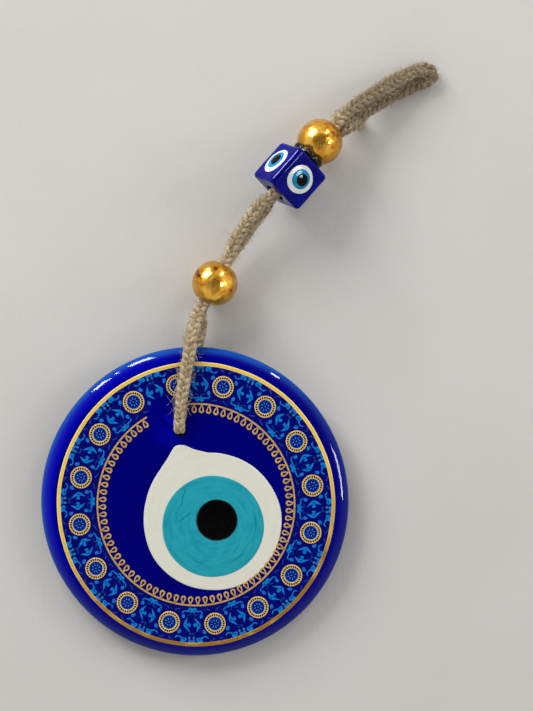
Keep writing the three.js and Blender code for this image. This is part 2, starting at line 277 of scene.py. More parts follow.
@dataclass(frozen=True)
class CobaltGlass:
    """Deep cobalt glass with painted light: a lighter blue is painted where light gathers in it and comes
    through its rim.

    Attributes:
        deep: colour in the thick middle.
        bright: colour of the painted light, where light gathers.
        rim: colour of the painted light that comes through the thin edge.
        gloss: strength of its reflections.
    """

    gloss: float

    deep: Color = (0.0003, 0.0005, 0.095)
    bright: Color = (0.0006, 0.0012, 0.40)
    rim: Color = (0.001, 0.045, 0.27)

    def material(self) -> bpy.types.Material:
        """Builds the material: painted light and shade from the stored values for the face and the rim, with
        faint cloudy streaks.
        """
        shader = Shader(f"cobalt_glass_{self.gloss}")
        place = shader.place()
        cloud = shader.noise(place, 60.0, 2.0)
        # Painted light and shade on the face, with the glass's own faint clouds added.
        painted_glow = shader.math("ADD", shader.extra("painted_glow"), shader.math("MULTIPLY", cloud, 0.22), True)
        body = shader.ramp(painted_glow, [(0.05, self.deep), (0.95, self.bright)])
        # Painted light through the rim, broken into patches.
        patches = shader.math("ADD", shader.noise(place, 110.0, 3.0), 0.35)
        edge = shader.math("MULTIPLY", shader.extra("rim"), patches, True)
        shader.paint(shader.mix(edge, body, self.rim))
        shader.set(roughness=0.02, ior=1.5, specular_ior_level=self.gloss)
        shader.bump(shader.noise(place, 90.0, 2.0), 0.06, 0.0006)
        shader.bump(shader.noise(place, 900.0, 2.0), 0.05, 0.00006)
        return shader.material


@dataclass(frozen=True)
class FusedGlass:
    """Opaque glass melted into the face, with streaks drawn out by the rod.

    Attributes:
        name: name of the material.
        light: main colour.
        dark: colour of the streaks.
        streak: how much of the streak colour shows, from 0 to 1.
    """

    name: str
    light: Color
    dark: Color
    streak: float = 0.5

    def material(self) -> bpy.types.Material:
        """Builds the material: streaks follow the stored grain vector."""
        shader = Shader(self.name)
        grain = shader.extra("grain", vector=True)
        lines = shader.noise(grain, 1.0, 4.0, 0.55)
        amount = shader.node("MapRange", {0: lines, 1: 0.42, 2: 0.68, 3: 0.0, 4: self.streak}).outputs[0]
        shader.paint(shader.mix(amount, self.light, self.dark))
        shader.set(roughness=0.05, ior=1.5, specular_ior_level=0.2)
        place = shader.place()
        shader.bump(shader.noise(place, 260.0, 3.0), 0.12, 0.0003)
        return shader.material


@dataclass(frozen=True)
class FiredInk:
    """Printed and fired ink with a soft gloss.

    Attributes:
        name: name of the material.
        light: main colour.
        dark: colour of its thin or worn places.
        patch: size of the patches, as a noise scale.
        metal: how metallic the ink is.
        roughness: its gloss.
    """

    name: str
    light: Color
    dark: Color
    patch: float = 500.0
    metal: float = 0.0
    roughness: float = 0.28

    def material(self) -> bpy.types.Material:
        """Builds the material: patches of the two colours over the print."""
        shader = Shader(self.name)
        place = shader.place()
        grain = shader.noise(place, self.patch, 4.0, 0.6)
        patches = shader.ramp(grain, [(0.35, self.light), (0.72, self.dark)])
        shader.paint(patches)
        shader.set(metallic=self.metal, roughness=self.roughness, specular_ior_level=0.05)
        shader.bump(shader.noise(place, 2600.0, 2.0), 0.15, 0.00004)
        return shader.material


@dataclass(frozen=True)
class GoldLine:
    """Gold lustre line: bright raised edges, a darker groove, and painted shade that darkens and browns the
    gold on the side away from the light.

    Attributes:
        edge: colour of the raised edges.
        groove: colour of the middle.
        shaded_tone: colour of the painted shade, where the gold reflects less light.
    """

    edge: Color = (0.98, 0.74, 0.27)
    groove: Color = (0.80, 0.53, 0.055)
    shaded_tone: Color = (0.30, 0.145, 0.010)

    def material(self) -> bpy.types.Material:
        """Builds the material: across gives edge or groove, and the stored shade value darkens the gold away
        from the light as painted shade.
        """
        shader = Shader("gold_line")
        place = shader.place()
        across = shader.math("MULTIPLY", shader.extra("across"), shader.extra("across"))
        wobble = shader.math("ADD", across, shader.math("MULTIPLY", shader.noise(place, 900.0), 0.5))
        body = shader.ramp(wobble, [(0.35, self.groove), (0.85, self.edge)])
        # Painted shade: the gold turns darker and browner on the side away from the light.
        shade_amount = shader.math("MULTIPLY", shader.extra("painted_shade"), shader.noise(place, 160.0, 3.0), True)
        shader.paint(shader.mix(shade_amount, body, self.shaded_tone))
        shader.set(metallic=0.25, roughness=0.3, coat_weight=0.25, coat_roughness=0.1)
        shader.bump(shader.noise(place, 1500.0, 2.0), 0.3, 0.00006)
        return shader.material


@dataclass(frozen=True)
class Jute:
    """Plaited jute yarn: long fibre streaks, painted shade on the yarns' inner sides between plies and along
    the loop, and a dry surface.

    Attributes:
        pale: colour of sunlit fibres.
        tan: main colour.
        shade: colour of deep fibres, and of the painted shade between the yarns and on the loop.
    """

    pale: Color = (0.66, 0.54, 0.37)
    tan: Color = (0.34, 0.245, 0.13)
    shade: Color = (0.055, 0.036, 0.018)

    def material(self) -> bpy.types.Material:
        """Builds the material: streaks run along the stored grain, which winds round the yarn, and the stored
        depth paints shade.
        """
        shader = Shader("jute_yarn")
        grain = shader.extra("grain", vector=True)
        fine = shader.noise(grain, 1.0, 5.0, 0.65)
        broad = shader.noise(shader.scaled(grain, (0.35, 0.35, 0.8)), 1.0, 2.0)
        value = shader.math("ADD", shader.math("MULTIPLY", fine, 0.7), shader.math("MULTIPLY", broad, 0.3))
        stops = [(0.34, self.shade), (0.46, self.tan), (0.60, self.pale)]
        color = shader.ramp(value, stops)
        speck = shader.noise(shader.scaled(grain, (1.9, 1.9, 2.6)), 1.0, 3.0, 0.7)
        color = shader.mix(shader.math("GREATER_THAN", speck, 0.60), color, self.shade)
        # Painted shade: the stored depth darkens the yarns' inner sides and the whole loop.
        shader.paint(shader.mix(shader.extra("depth"), color, self.shade))
        shader.set(roughness=0.85, sheen_weight=0.25, sheen_roughness=0.5, specular_ior_level=0.2)
        shader.bump(fine, 1.0, 0.0006)
        return shader.material


@dataclass(frozen=True)
class JuteFibre:
    """Loose jute hairs that stand off the plait.

    Attributes:
        color: colour of a hair.
    """

    color: Color = (0.68, 0.57, 0.39)

    def material(self) -> bpy.types.Material:
        """Builds the material: slight colour change from hair to hair."""
        shader = Shader("jute_hair")
        tone = shader.noise(shader.place(), 900.0, 2.0)
        stops = [(0.34, (0.13, 0.09, 0.05)), (0.50, (0.40, 0.31, 0.19)), (0.66, self.color)]
        shader.paint(shader.ramp(tone, stops))
        shader.set(roughness=0.6, specular_ior_level=0.3)
        return shader.material


@dataclass(frozen=True)
class PlatedGold:
    """Bright gold plating on a moulded bead, with soft dents.

    Attributes:
        light: colour of the clean plating.
        deep: colour of the duller patches.
    """

    light: Color = (0.70, 0.40, 0.052)
    deep: Color = (0.50, 0.20, 0.012)

    def material(self) -> bpy.types.Material:
        """Builds the material: metal with two tones, uneven gloss and low relief."""
        shader = Shader("plated_gold")
        place = shader.place()
        tone = shader.noise(place, 260.0, 3.0, 0.6)
        stops = [(0.36, self.light), (0.62, self.deep), (0.70, (0.10, 0.035, 0.004))]
        shader.paint(shader.ramp(tone, stops))
        shader.rough(shader.noise(place, 420.0, 3.0), 0.08, 0.30)
        shader.set(metallic=0.80)
        shader.bump(shader.noise(place, 190.0, 2.0), 0.55, 0.0012)
        shader.bump(shader.noise(place, 900.0, 2.0), 0.12, 0.00016)
        return shader.material


@dataclass(frozen=True)
class PouredResin:
    """Glossy poured resin.

    Attributes:
        name: name of the material.
        light: colour of the lighter clouds.
        dark: main colour.
        relief: strength of the surface's unevenness.
        gloss: strength of its reflections.
    """

    name: str
    light: Color
    dark: Color
    relief: float = 0.15
    gloss: float = 0.3

    def material(self) -> bpy.types.Material:
        """Builds the material: soft clouds of the two colours under a clear gloss."""
        shader = Shader(self.name)
        place = shader.place()
        shader.paint(shader.ramp(shader.noise(place, 300.0, 3.0), [(0.38, self.dark), (0.75, self.light)]))
        shader.set(roughness=0.04, specular_ior_level=self.gloss)
        shader.bump(shader.noise(place, 240.0, 2.0), self.relief, 0.0005)
        return shader.material


@dataclass(frozen=True)
class PaleCloth:
    """Pale table cloth with a fine weave."""

    light: Color = (0.478, 0.474, 0.463)
    dark: Color = (0.452, 0.442, 0.428)

    def material(self) -> bpy.types.Material:
        """Builds the material: faint stains and a low weave."""
        shader = Shader("pale_cloth")
        place = shader.place()
        shader.paint(shader.ramp(shader.noise(place, 14.0, 4.0), [(0.3, self.light), (0.75, self.dark)]))
        shader.set(roughness=0.8, specular_ior_level=0.2)
        shader.bump(shader.noise(shader.scaled(place, (1.0, 0.4, 1.0)), 650.0, 2.0), 0.25, 0.0003)
        return shader.material


# ---------------------------------------------------------------- surfaces


def tubes(centres: np.ndarray, across: np.ndarray, up: np.ndarray, radius: np.ndarray, sides: int) -> Sheet:
    """Carries a round section along several paths at once.

    A point is centre + radius * (cos(a) * across + sin(a) * up), with a flat cap at both ends.

    Args:
        centres: (m, n, 3) points of m paths.
        across: (m, n, 3) unit vectors to the right of the paths.
        up: (m, n, 3) unit vectors square to the paths and to across.
        radius: (m, n) or (m, n, sides) radii.
        sides: number of points round the section.

    Returns:
        One closed surface per path.
    """
    angles = TURN * np.arange(sides) / sides
    radius = radius[..., None] if radius.ndim == 2 else radius
    ring = across[:, :, None] * np.cos(angles)[:, None] + up[:, :, None] * np.sin(angles)[:, None]
    points = centres[:, :, None] + ring * radius[..., None]
    return closed_sections(points, centres[:, 0], centres[:, -1])


def closed_sections(points: np.ndarray, first: np.ndarray, last: np.ndarray) -> Sheet:
    """Joins the section points of several paths and closes both ends.

    Args:
        points: (m, n, k, 3) array: k section points at n places along m paths.
        first: (m, 3) middle of each first section.
        last: (m, 3) middle of each last section.

    Returns:
        One closed surface per path.
    """
    count, steps, sides = points.shape[:3]
    quads = grid_faces(steps, sides, wrap_columns=True)
    starts = (np.arange(count) * steps * sides)[:, None, None]
    body = (starts + quads[None]).reshape(-1, 4)
    j = np.arange(sides)
    j1 = (j + 1) % sides
    middle = count * steps * sides + np.arange(count)[:, None] + np.zeros(sides, int)
    near = np.stack([middle, starts[:, 0] + j, starts[:, 0] + j1], axis=2)
    end = starts[:, 0] + (steps - 1) * sides
    far = np.stack([middle + count, end + j1, end + j], axis=2)
    every = np.concatenate([points.reshape(-1, 3), first, last])
    return Sheet(every, [body, near.reshape(-1, 3), far.reshape(-1, 3)]).finish(0)


def smooth_path(route: np.ndarray, step: float) -> np.ndarray:
    """Draws a centripetal Catmull-Rom curve through a route and steps evenly along it.

    Args:
        route: (n, 3) chosen points.
        step: distance between the returned points.

    Returns:
        (m, 3) points at even distances along the curve.
    """
    ends = np.stack([2 * route[0] - route[1], 2 * route[-1] - route[-2]])
    p = np.concatenate([ends[:1], route, ends[1:]])
    gaps = np.linalg.norm(np.diff(p, axis=0), axis=1, keepdims=True) ** 0.5
    p0, p1, p2, p3 = p[:-3], p[1:-2], p[2:-1], p[3:]
    d0, d1, d2 = gaps[:-2], gaps[1:-1], gaps[2:]
    m1 = ((p1 - p0) / d0 - (p2 - p0) / (d0 + d1) + (p2 - p1) / d1) * d1
    m2 = ((p2 - p1) / d1 - (p3 - p1) / (d1 + d2) + (p3 - p2) / d2) * d1
    t = np.linspace(0.0, 1.0, 40, endpoint=False)[:, None, None]
    leaving = (2 * t**3 - 3 * t**2 + 1) * p1 + (t**3 - 2 * t**2 + t) * m1
    cubic = leaving + (3 * t**2 - 2 * t**3) * p2 + (t**3 - t**2) * m2
    dense = np.concatenate([cubic.transpose(1, 0, 2).reshape(-1, 3), route[-1:]])
    return even_steps(dense, step)


def even_steps(points: np.ndarray, step: float) -> np.ndarray:
    """Steps along a line of points at even distances, from its first to its last point."""
    lengths = np.linalg.norm(np.diff(points, axis=0), axis=1)
    along = np.concatenate([[0.0], np.cumsum(lengths)])
    places = np.linspace(0.0, along[-1], max(2, round(along[-1] / step)) + 1)
    return np.stack([np.interp(places, along, points[:, k]) for k in range(3)], axis=1)


def path_frames(points: np.ndarray, rise: np.ndarray) -> tuple[np.ndarray, np.ndarray, np.ndarray]:
    """Finds the direction of a path, the side to its right, and the up that is square to both.

    Args:
        points: (n, 3) points of the path.
        rise: (n, 3) vectors that say which way is roughly up.

    Returns:
        Unit vectors along, across and up, each (n, 3).
    """
    along = unit(np.gradient(points, axis=0))
    across = unit(np.cross(along, rise))
    return along, across, np.cross(across, along)


@dataclass(frozen=True)
class DiscFrame:
    """The disc's own frame: its back face is at height 0, and it leans on the strand under it.

    Attributes:
        tilt: lean of the disc about X, in radians.
        forward: place of the frame's zero along Y, in millimetres.
        lift: place of the frame's zero above the table, in millimetres.
        thickness: height of the face.
    """

    tilt: float = 0.046695
    forward: float = 0.140034
    lift: float = 2.707326
    thickness: float = 7.0
    crater_x: float = -10.0
    crater_y: float = 31.2
    crater_width: float = 8.2
    crater_length: float = 9.4
    crater_depth: float = 1.1

    def world(self, points: np.ndarray) -> np.ndarray:
        """Turns points of the disc's frame, in millimetres, into metres on the table."""
        x, y, z = points[..., 0], points[..., 1], points[..., 2]
        cos, sin = math.cos(self.tilt), math.sin(self.tilt)
        placed = [x, self.forward + cos * y - sin * z, self.lift + sin * y + cos * z]
        return np.stack(placed, axis=-1) / 1000.0

    def crater_reach(self, x: np.ndarray, y: np.ndarray) -> np.ndarray:
        """How far out a place is in the dimple at the hole: 0 in its middle, 1 at its edge."""
        return np.hypot((x - self.crater_x) / self.crater_width, (y - self.crater_y) / self.crater_length)

    def face(self, x: np.ndarray, y: np.ndarray) -> np.ndarray:
        """Height of the face: flat, with a dimple of depth * (1 - reach^2)^1.5."""
        inside = np.clip(1.0 - self.crater_reach(x, y) ** 2, 0.0, 1.0)
        return self.thickness - self.crater_depth * inside**1.5

    def on_face(self, flat: np.ndarray, level: float | np.ndarray) -> np.ndarray:
        """Puts flat points at a level over the face, in metres on the table."""
        height = self.face(flat[..., 0], flat[..., 1]) + level
        level = np.broadcast_to(height, flat.shape[:-1])[..., None]
        return self.world(np.concatenate([flat, level], axis=-1))


DISC = DiscFrame()


def strokes(centre: np.ndarray, half: np.ndarray, low: float, high: float) -> Sheet:
    """Lays flat brush strokes on the face, each a thin closed plate.

    The section at each place is a flat rectangle: centre ± half * side, from low to high over the face.

    Args:
        centre: (m, n, 2) middle line of m strokes in the disc's frame.
        half: (m, n) or (n,) half widths.
        low: level of the underside over the face.
        high: level of the top over the face.

    Returns:
        One closed surface per stroke, in metres.
    """
    along = np.gradient(centre, axis=1)
    side = unit(np.stack([along[..., 1], -along[..., 0]], axis=-1))
    half = np.broadcast_to(half, centre.shape[:2])[..., None]
    right, left = centre + side * half, centre - side * half
    corners = [
        DISC.on_face(right, low),
        DISC.on_face(right, high),
        DISC.on_face(left, high),
        DISC.on_face(left, low),
    ]
    middle = DISC.on_face(centre, (low + high) / 2)
    return closed_sections(np.stack(corners, axis=2), middle[:, 0], middle[:, -1])


def lens(outline: np.ndarray, centre: tuple[float, float], rows: list[tuple[float, float, float]]) -> Sheet:
    """Builds a closed low form over an outline, such as a drop of melted glass.

    A point of a row is centre + (share * distance - inset) * direction, at the row's level over the face.

    Args:
        outline: (n, 2) outline, counter-clockwise in the disc's frame.
        centre: middle of the form.
        rows: (share, inset, level) from the middle of the top, over the edge, to the middle below.

    Returns:
        One closed surface, in metres.
    """
    middle = np.array(centre)
    spokes = outline - middle
    distance = np.linalg.norm(spokes, axis=1)
    table = np.array(rows)
    reach = table[:, :1] * distance - table[:, 1:2]
    flat = middle + (spokes / distance[:, None])[None] * reach[..., None]
    points = DISC.on_face(flat, table[:, 2:3]).reshape(-1, 3)
    poles = DISC.on_face(np.stack([middle, middle]), table[[0, -1], 2])
    count, sides = reach.shape
    j = np.arange(sides)
    j1 = (j + 1) % sides
    top = np.stack([np.full(sides, count * sides), j, j1], axis=1)
    end = (count - 1) * sides
    bottom = np.stack([np.full(sides, count * sides + 1), end + j1, end + j], axis=1)
    faces = [grid_faces(count, sides, wrap_columns=True), top, bottom]
    return Sheet(np.concatenate([points, poles]), faces).finish(0)


def ring_plate(
    inner: np.ndarray, outer: np.ndarray, centre: tuple[float, float], rows: list[tuple[float, float]]
) -> Sheet:
    """Builds a closed flat ring whose two radii may change with the angle.

    A point is centre + (inner + share * (outer - inner)) * direction, at the row's level over the face.

    Args:
        inner: (n,) inner radii at even angles, starting along X.
        outer: (n,) outer radii.
        centre: middle of the ring in the disc's frame.
        rows: (share, level) across the top from inside to outside, then back underneath.

    Returns:
        One closed surface, in metres.
    """
    sides = len(inner)
    angles = TURN * np.arange(sides) / sides
    table = np.array(rows)
    radius = inner + table[:, :1] * (outer - inner)
    flat = np.array(centre) + np.stack([radius * np.cos(angles), radius * np.sin(angles)], axis=-1)
    points = DISC.on_face(flat, table[:, 1:2])
    faces = grid_faces(len(rows), sides, wrap_rows=True, wrap_columns=True)
    return Sheet(points.reshape(-1, 3), [faces]).finish(0)


# ---------------------------------------------------------------- camera and light


class Body(Enum):
    """The bodies that pieces ride on."""

    DISC = "disc"
    CORD = "cord"
    LOWER_BEAD = "lower_bead"
    CUBE = "cube"
    CAP = "cap"


def settle(obj: bpy.types.Object, body: Body, slot: str, *nodes: str) -> None:
    """Puts a finished piece on its body and hides the nodes that it stands for.

    Args:
        obj: the piece.
        body: the body that carries it.
        slot: not used.
        nodes: the nodes that it replaces.
    """
    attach(obj, body.value)
    if nodes:
        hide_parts(*nodes)
    LOG.info("%s: %d faces", obj.name, len(obj.data.polygons))


@dataclass
class Viewpoint:
    """A camera straight above the ornament.

    Attributes:
        x: place along X, in metres.
        y: place along Y.
        height: height over the table.
        lens_mm: focal length for a 36 mm sensor.
    """

    x: float = 0.02799
    y: float = 0.05699
    height: float = 0.480
    lens_mm: float = 61.37

    def build(self) -> None:
        """Makes the camera and lets the scene use it."""
        data = bpy.data.cameras.new("view_from_above")
        data.sensor_width = 36.0
        data.sensor_fit = "AUTO"
        data.lens = self.lens_mm
        data.clip_start = 0.01
        data.clip_end = 20.0
        camera = bpy.data.objects.new("view_from_above", data)
        camera.location = (self.x, self.y, self.height)
        bpy.context.scene.collection.objects.link(camera)
        bpy.context.scene.camera = camera


@dataclass
class Window:
    """A soft light low over the table.

    Attributes:
        azimuth: direction from the ornament, in degrees from +X.
        elevation: height angle, in degrees.
        width: width of the light, in metres.
        tall: height of the light.
        power: strength, in watts.
        color: colour of the light.
        distance: how far away it stands.
        glint: True for a light that only shows in reflections; the others never do.
    """

    azimuth: float
    elevation: float
    width: float
    tall: float
    power: float
    color: Color = (1.0, 1.0, 1.0)
    distance: float = 1.6
    glint: bool = False

    def build(self, number: int, shiny: bpy.types.Collection) -> None:
        """Makes the light, facing the middle of the ornament.

        Args:
            number: its number.
            shiny: the pieces that a glint shows in.
        """
        data = bpy.data.lights.new(f"window_{number}", "AREA")
        data.shape = "RECTANGLE"
        data.size, data.size_y = self.width, self.tall
        data.energy = self.power
        data.color = self.color
        light = bpy.data.objects.new(f"window_{number}", data)
        angle, rise = math.radians(self.azimuth), math.radians(self.elevation)
        target = Vector((0.03, 0.06, 0.0))
        away = Vector((math.cos(angle) * math.cos(rise), math.sin(angle) * math.cos(rise), math.sin(rise)))
        light.location = target + away * self.distance
        light.rotation_euler = away.to_track_quat("Z", "Y").to_euler()
        light.visible_diffuse = not self.glint
        light.visible_glossy = self.glint
        if self.glint:
            light.light_linking.receiver_collection = shiny
        bpy.context.scene.collection.objects.link(light)


@dataclass
class Studio:
    """A pale table, a room that is brighter at eye level than overhead, and low windows."""

    table_size: float = 6.0
    ceiling: float = 0.012
    walls: float = 0.92
    windows: tuple[Window, ...] = (
        Window(131.0, 24.0, 0.50, 0.75, 21.0, (1.0, 0.99, 0.97)),
        Window(111.0, 22.0, 0.30, 0.70, 10.0, (1.0, 0.99, 0.98)),
        Window(56.0, 20.0, 0.20, 0.60, 6.0, (1.0, 0.98, 0.95)),
        Window(11.0, 22.0, 0.24, 0.70, 8.0, (1.0, 0.98, 0.95)),
        Window(142.0, 30.0, 0.19, 0.62, 26.0, glint=True),
        Window(133.0, 29.0, 0.04, 0.36, 3.6, glint=True),
        Window(121.0, 29.0, 0.29, 0.62, 40.0, glint=True),
        Window(53.0, 33.0, 0.11, 0.42, 13.0, glint=True),
        Window(-5.0, 42.0, 0.46, 0.36, 30.0, glint=True),
    )

    def build(self) -> None:
        """Makes the table, the room light and the windows."""
        self.shiny = bpy.data.collections.new("shiny_pieces")
        half = self.table_size / 2
        corners = np.array([(-half, -half, 0.0), (half, -half, 0.0), (half, half, 0.0), (-half, half, 0.0)])
        top = Sheet(corners, [np.array([[0, 1, 2, 3]])])
        table = make_object("table_top", top, [PaleCloth().material()], False)
        self.room()
        for number, window in enumerate(self.windows):
            window.build(number, self.shiny)
        view = bpy.context.scene.view_settings
        view.view_transform = "Standard"
        view.look = "None"

    def show_glints_in(self, pieces: list[bpy.types.Object]) -> None:
        """Adds the pieces that glints show in."""
        for piece in pieces:
            self.shiny.objects.link(piece)

    def room(self) -> None:
        """Shades the surroundings by height: dim overhead, brighter near the horizon."""
        world = bpy.data.worlds.new("room")
        world.use_nodes = True
        bpy.context.scene.world = world
        tree = world.node_tree
        place = tree.nodes.new("ShaderNodeTexCoord")
        split = tree.nodes.new("ShaderNodeSeparateXYZ")
        ramp = tree.nodes.new("ShaderNodeValToRGB")
        tree.links.new(place.outputs["Generated"], split.inputs[0])
        tree.links.new(split.outputs["Z"], ramp.inputs[0])
        tree.links.new(ramp.outputs[0], tree.nodes["Background"].inputs["Color"])
        stops = ((0.64, self.walls), (0.86, 0.42 * self.walls), (0.985, self.ceiling))
        ramp.color_ramp.elements.new(0.5)
        for element, (position, light) in zip(ramp.color_ramp.elements, stops):
            element.position = position
            element.color = (light, light, 0.985 * light, 1.0)


# ---------------------------------------------------------------- the cord


@dataclass
class PlaitedCord:
    """A flat plait of three jute yarns that runs doubled from the hole to the hanging loop.

    The whole cord is one path: from the frayed tail, back through the beads, under the disc, up
    through the hole, over the face, and on to the loop, whose end is glued into the upper bead.

    Attributes:
        width: full width of the plait.
        thickness: full thickness of the plait.
        yarn: diameter of one yarn.
        pitch: length in which a yarn comes back to the same side.
        step: distance between sections.
        sides: points round one yarn.
    """

    width: float = 5.0
    thickness: float = 3.3
    yarn: float = 2.15
    pitch: float = 8.0
    step: float = 0.33
    sides: int = 18
    hole_x: float = -5.52
    hole_y: float = 27.6
    hole_edge: float = 30.5
    stand_off: float = 2.0
    front_free: tuple[tuple[float, float, float], ...] = (
        (57.6, 149.9, 11.0),
        (63.0, 154.3, 10.2),
        (72.6, 161.2, 8.3),
        (81.0, 166.1, 6.2),
        (87.0, 168.8, 4.6),
        (90.6, 169.5, 3.7),
        (93.0, 168.4, 3.0),
        (93.0, 166.2, 2.5),
        (90.8, 164.9, 2.2),
        (87.3, 163.9, 2.0),
        (81.7, 161.3, 2.0),
        (75.7, 158.1, 3.0),
        (69.9, 154.6, 4.9),
        (65.8, 151.3, 6.8),
        (62.5, 148.2, 8.4),
        (59.355, 145.489, 10.609),
        (57.167, 144.284, 10.709),
        (55.7, 143.4, 10.75),
    )
    back_free: tuple[tuple[float, float, float], ...] = (
        (57.3, 149.1, 6.6),
        (60.4, 149.6, 4.6),
        (63.2, 148.8, 2.9),
        (65.2, 147.7, 2.1),
    )

    def threaded(self, side: int) -> np.ndarray:
        """The stretch through the beads, for the upper strand (+1) or the lower one (-1)."""
        lower, low_axis = np.array([7.9, 85.1, 8.9]), unit(np.array([0.475, 0.88, 0.0]))
        cube, axis = np.array([37.0, 126.2, 12.651]), np.array([0.653563, 0.751838, -0.087156])
        upper = np.array([48.6338, 139.5832, 11.0996])
        rise = np.cross(np.array([0.754710, -0.656059, 0.0]), axis)
        up = np.array([0.0, 0.0, 1.85 * side])
        lower_part = lower + np.array([-11.97, -7.97, 0.0, 7.97, 11.97])[:, None] * low_axis + up
        splay = np.array([-0.72, 0.54, 0.0]) * side
        between = np.array([[17.3, 101.9, 9.8], [22.0, 108.7, 11.0], [26.4, 114.4, 12.2]]) + up + splay
        tilted = 1.85 * side * rise
        cube_part = cube + np.array([-11.2, -4.35, 4.35])[:, None] * axis + tilted
        upper_part = upper + np.array([-3.985, 3.985, 9.47])[:, None] * axis + tilted
        return np.concatenate([lower_part, between, cube_part, upper_part])

    def front_route(self) -> np.ndarray:
        """The route over the face and on to the loop, in millimetres."""
        face = np.array([(-5.42, 32.9), (-4.6, 42.0), (-3.4, 49.5), (-1.8, 57.0)])
        over = DISC.world(np.column_stack([face, np.full(4, DISC.thickness + self.stand_off)])) * 1000.0
        return np.concatenate([over, [[-0.4, 66.7, 13.5]], self.threaded(1), np.array(self.front_free)])

    def back_route(self) -> np.ndarray:
        """The route under the back and on to the frayed tail, in millimetres."""
        back = np.array([(-5.42, 32.9), (-4.2, 42.0), (-2.6, 50.0)])
        under = DISC.world(np.column_stack([back, np.full(3, -self.stand_off)])) * 1000.0
        bridge = np.array([[0.3, 60.0, 3.4], [2.2, 67.8, 5.6]])
        return np.concatenate([under, bridge, self.threaded(-1), np.array(self.back_free)])

    def hole_turn(self) -> np.ndarray:
        """The tight turn round the edge of the hole, from under the back up to the face."""
        edge, reach, top = self.hole_edge, self.stand_off, DISC.thickness
        bend = np.radians(np.linspace(0.0, 90.0, 9))[:, None]
        below = np.concatenate([edge - reach * np.sin(bend), -reach * np.cos(bend)], axis=1)
        above = np.concatenate([edge - reach * np.cos(bend), top + reach * np.sin(bend)], axis=1)
        line = np.concatenate([[[32.6, -reach]], below, above, [[32.6, top + reach]]])
        return DISC.world(np.column_stack([np.full(len(line), self.hole_x), line])) * 1000.0

    def lay(self) -> None:
        """Works out the whole path, its frames and where its three stretches begin."""
        front = smooth_path(self.front_route(), self.step)
        back = smooth_path(self.back_route(), self.step)[::-1]
        turn = even_steps(self.hole_turn(), self.step)
        self.points = np.concatenate([back, turn, front])
        self.cuts = [len(back), len(back) + len(turn)]
        rise = np.zeros_like(self.points)
        rise[: self.cuts[0], 2] = -1.0
        rise[self.cuts[1] :, 2] = 1.0
        middle = slice(self.cuts[0], self.cuts[1])
        rise[middle] = np.cross([1.0, 0.0, 0.0], unit(np.gradient(self.points, axis=0))[middle])
        self.along, self.across, self.up = path_frames(self.points, rise)
        lengths = np.linalg.norm(np.diff(self.points, axis=0), axis=1)
        self.place = np.concatenate([[0.0], np.cumsum(lengths)])
        past_bead = np.argmax((np.arange(len(self.points)) > self.cuts[1]) & (self.points[:, 1] > 147.0))
        self.loop_start = self.place[past_bead]

    def yarns(self, part: slice) -> Sheet:
        """Plaits three yarns along one stretch.

        Yarn k lies at across = A * sin(w + k/3 turn) and up = B * sin(2 * (w + k/3 turn)), where w is
        the place over the pitch. Its radius swells where its plies twist round it.

        Args:
            part: the stretch of the path.

        Returns:
            The three closed yarns, with the grain values of the jute finish and its depth values of painted
            shade.
        """
        place = self.place[part]
        from_hole = np.abs(place - self.place[self.cuts].mean())
        ease = np.clip((from_hole - 2.0) / 22.0, 0.0, 1.0)
        loop = np.clip((place - self.loop_start) / 10.0, 0.0, 1.0)
        swing = (self.width - self.yarn) / 2 * (0.72 + 0.28 * ease + 0.11 * loop)
        hump = (self.thickness - self.yarn) / 2
        phase = TURN * (place / self.pitch + np.arange(3)[:, None] / 3)
        strand = np.arange(3)[:, None]
        wander = 0.10 * np.sin(TURN * place / 17.3 + 2.1 * strand)
        wander = wander + 0.06 * np.sin(TURN * place / 4.9 + 3.3 * strand)
        side, rise = swing * np.sin(phase) + wander, hump * np.sin(2 * phase)
        along, across, up = self.along[part], self.across[part], self.up[part]
        centres = self.points[part] + side[..., None] * across + rise[..., None] * up
        run = unit(np.gradient(centres, axis=1))
        yarn_across = unit(np.cross(run, np.broadcast_to(up, run.shape)))
        yarn_up = np.cross(yarn_across, run)
        angles = TURN * np.arange(self.sides) / self.sides
        twist = angles - TURN * place[None, :, None] / 6.2 + np.arange(3)[:, None, None]
        ply = 1.0 + 0.075 * np.abs(np.sin(1.5 * twist)) - 0.04
        ply = ply + 0.022 * np.sin(9.0 * twist + 0.8 * place[None, :, None])
        ply = ply + 0.015 * np.sin(7.0 * twist - 1.7 * place[None, :, None])
        uneven = 1.0 + 0.06 * np.sin(TURN * place / 11.0 + 1.7 * strand)
        uneven = uneven + 0.03 * np.sin(TURN * place / 3.1 + strand)
        radius = self.yarn / 2 * uneven[..., None] * ply
        sheet = tubes(centres, yarn_across, yarn_up, radius, self.sides)
        ring = np.stack(
            [
                np.cos(twist) * 5.0,
                np.sin(twist) * 5.0,
                np.broadcast_to(place[None, :, None] * 0.5 + 40.0 * np.arange(3)[:, None, None], twist.shape),
            ],
            axis=-1,
        )
        outward = yarn_across[:, :, None] * np.cos(angles)[:, None]
        outward = outward + yarn_up[:, :, None] * np.sin(angles)[:, None]
        offset = (centres - self.points[part])[:, :, None]
        inward = -np.sum(outward * offset, axis=-1) / (np.linalg.norm(offset, axis=-1) + 0.3)
        # Painted shade: darker on each yarn's side that faces the plait's middle, and darker all along the
        # loop.
        depth = 0.75 * np.clip(inward - 0.25, 0.0, 1.0) + 0.55 * loop[:, None]
        sheet.extras["grain"] = np.concatenate([ring.reshape(-1, 3), ring[:, 0, 0], ring[:, -1, 0]])
        sheet.extras["depth"] = np.concatenate([depth.reshape(-1), depth[:, 0, 0], depth[:, -1, 0]])
        sheet.points = sheet.points / 1000.0
        return sheet

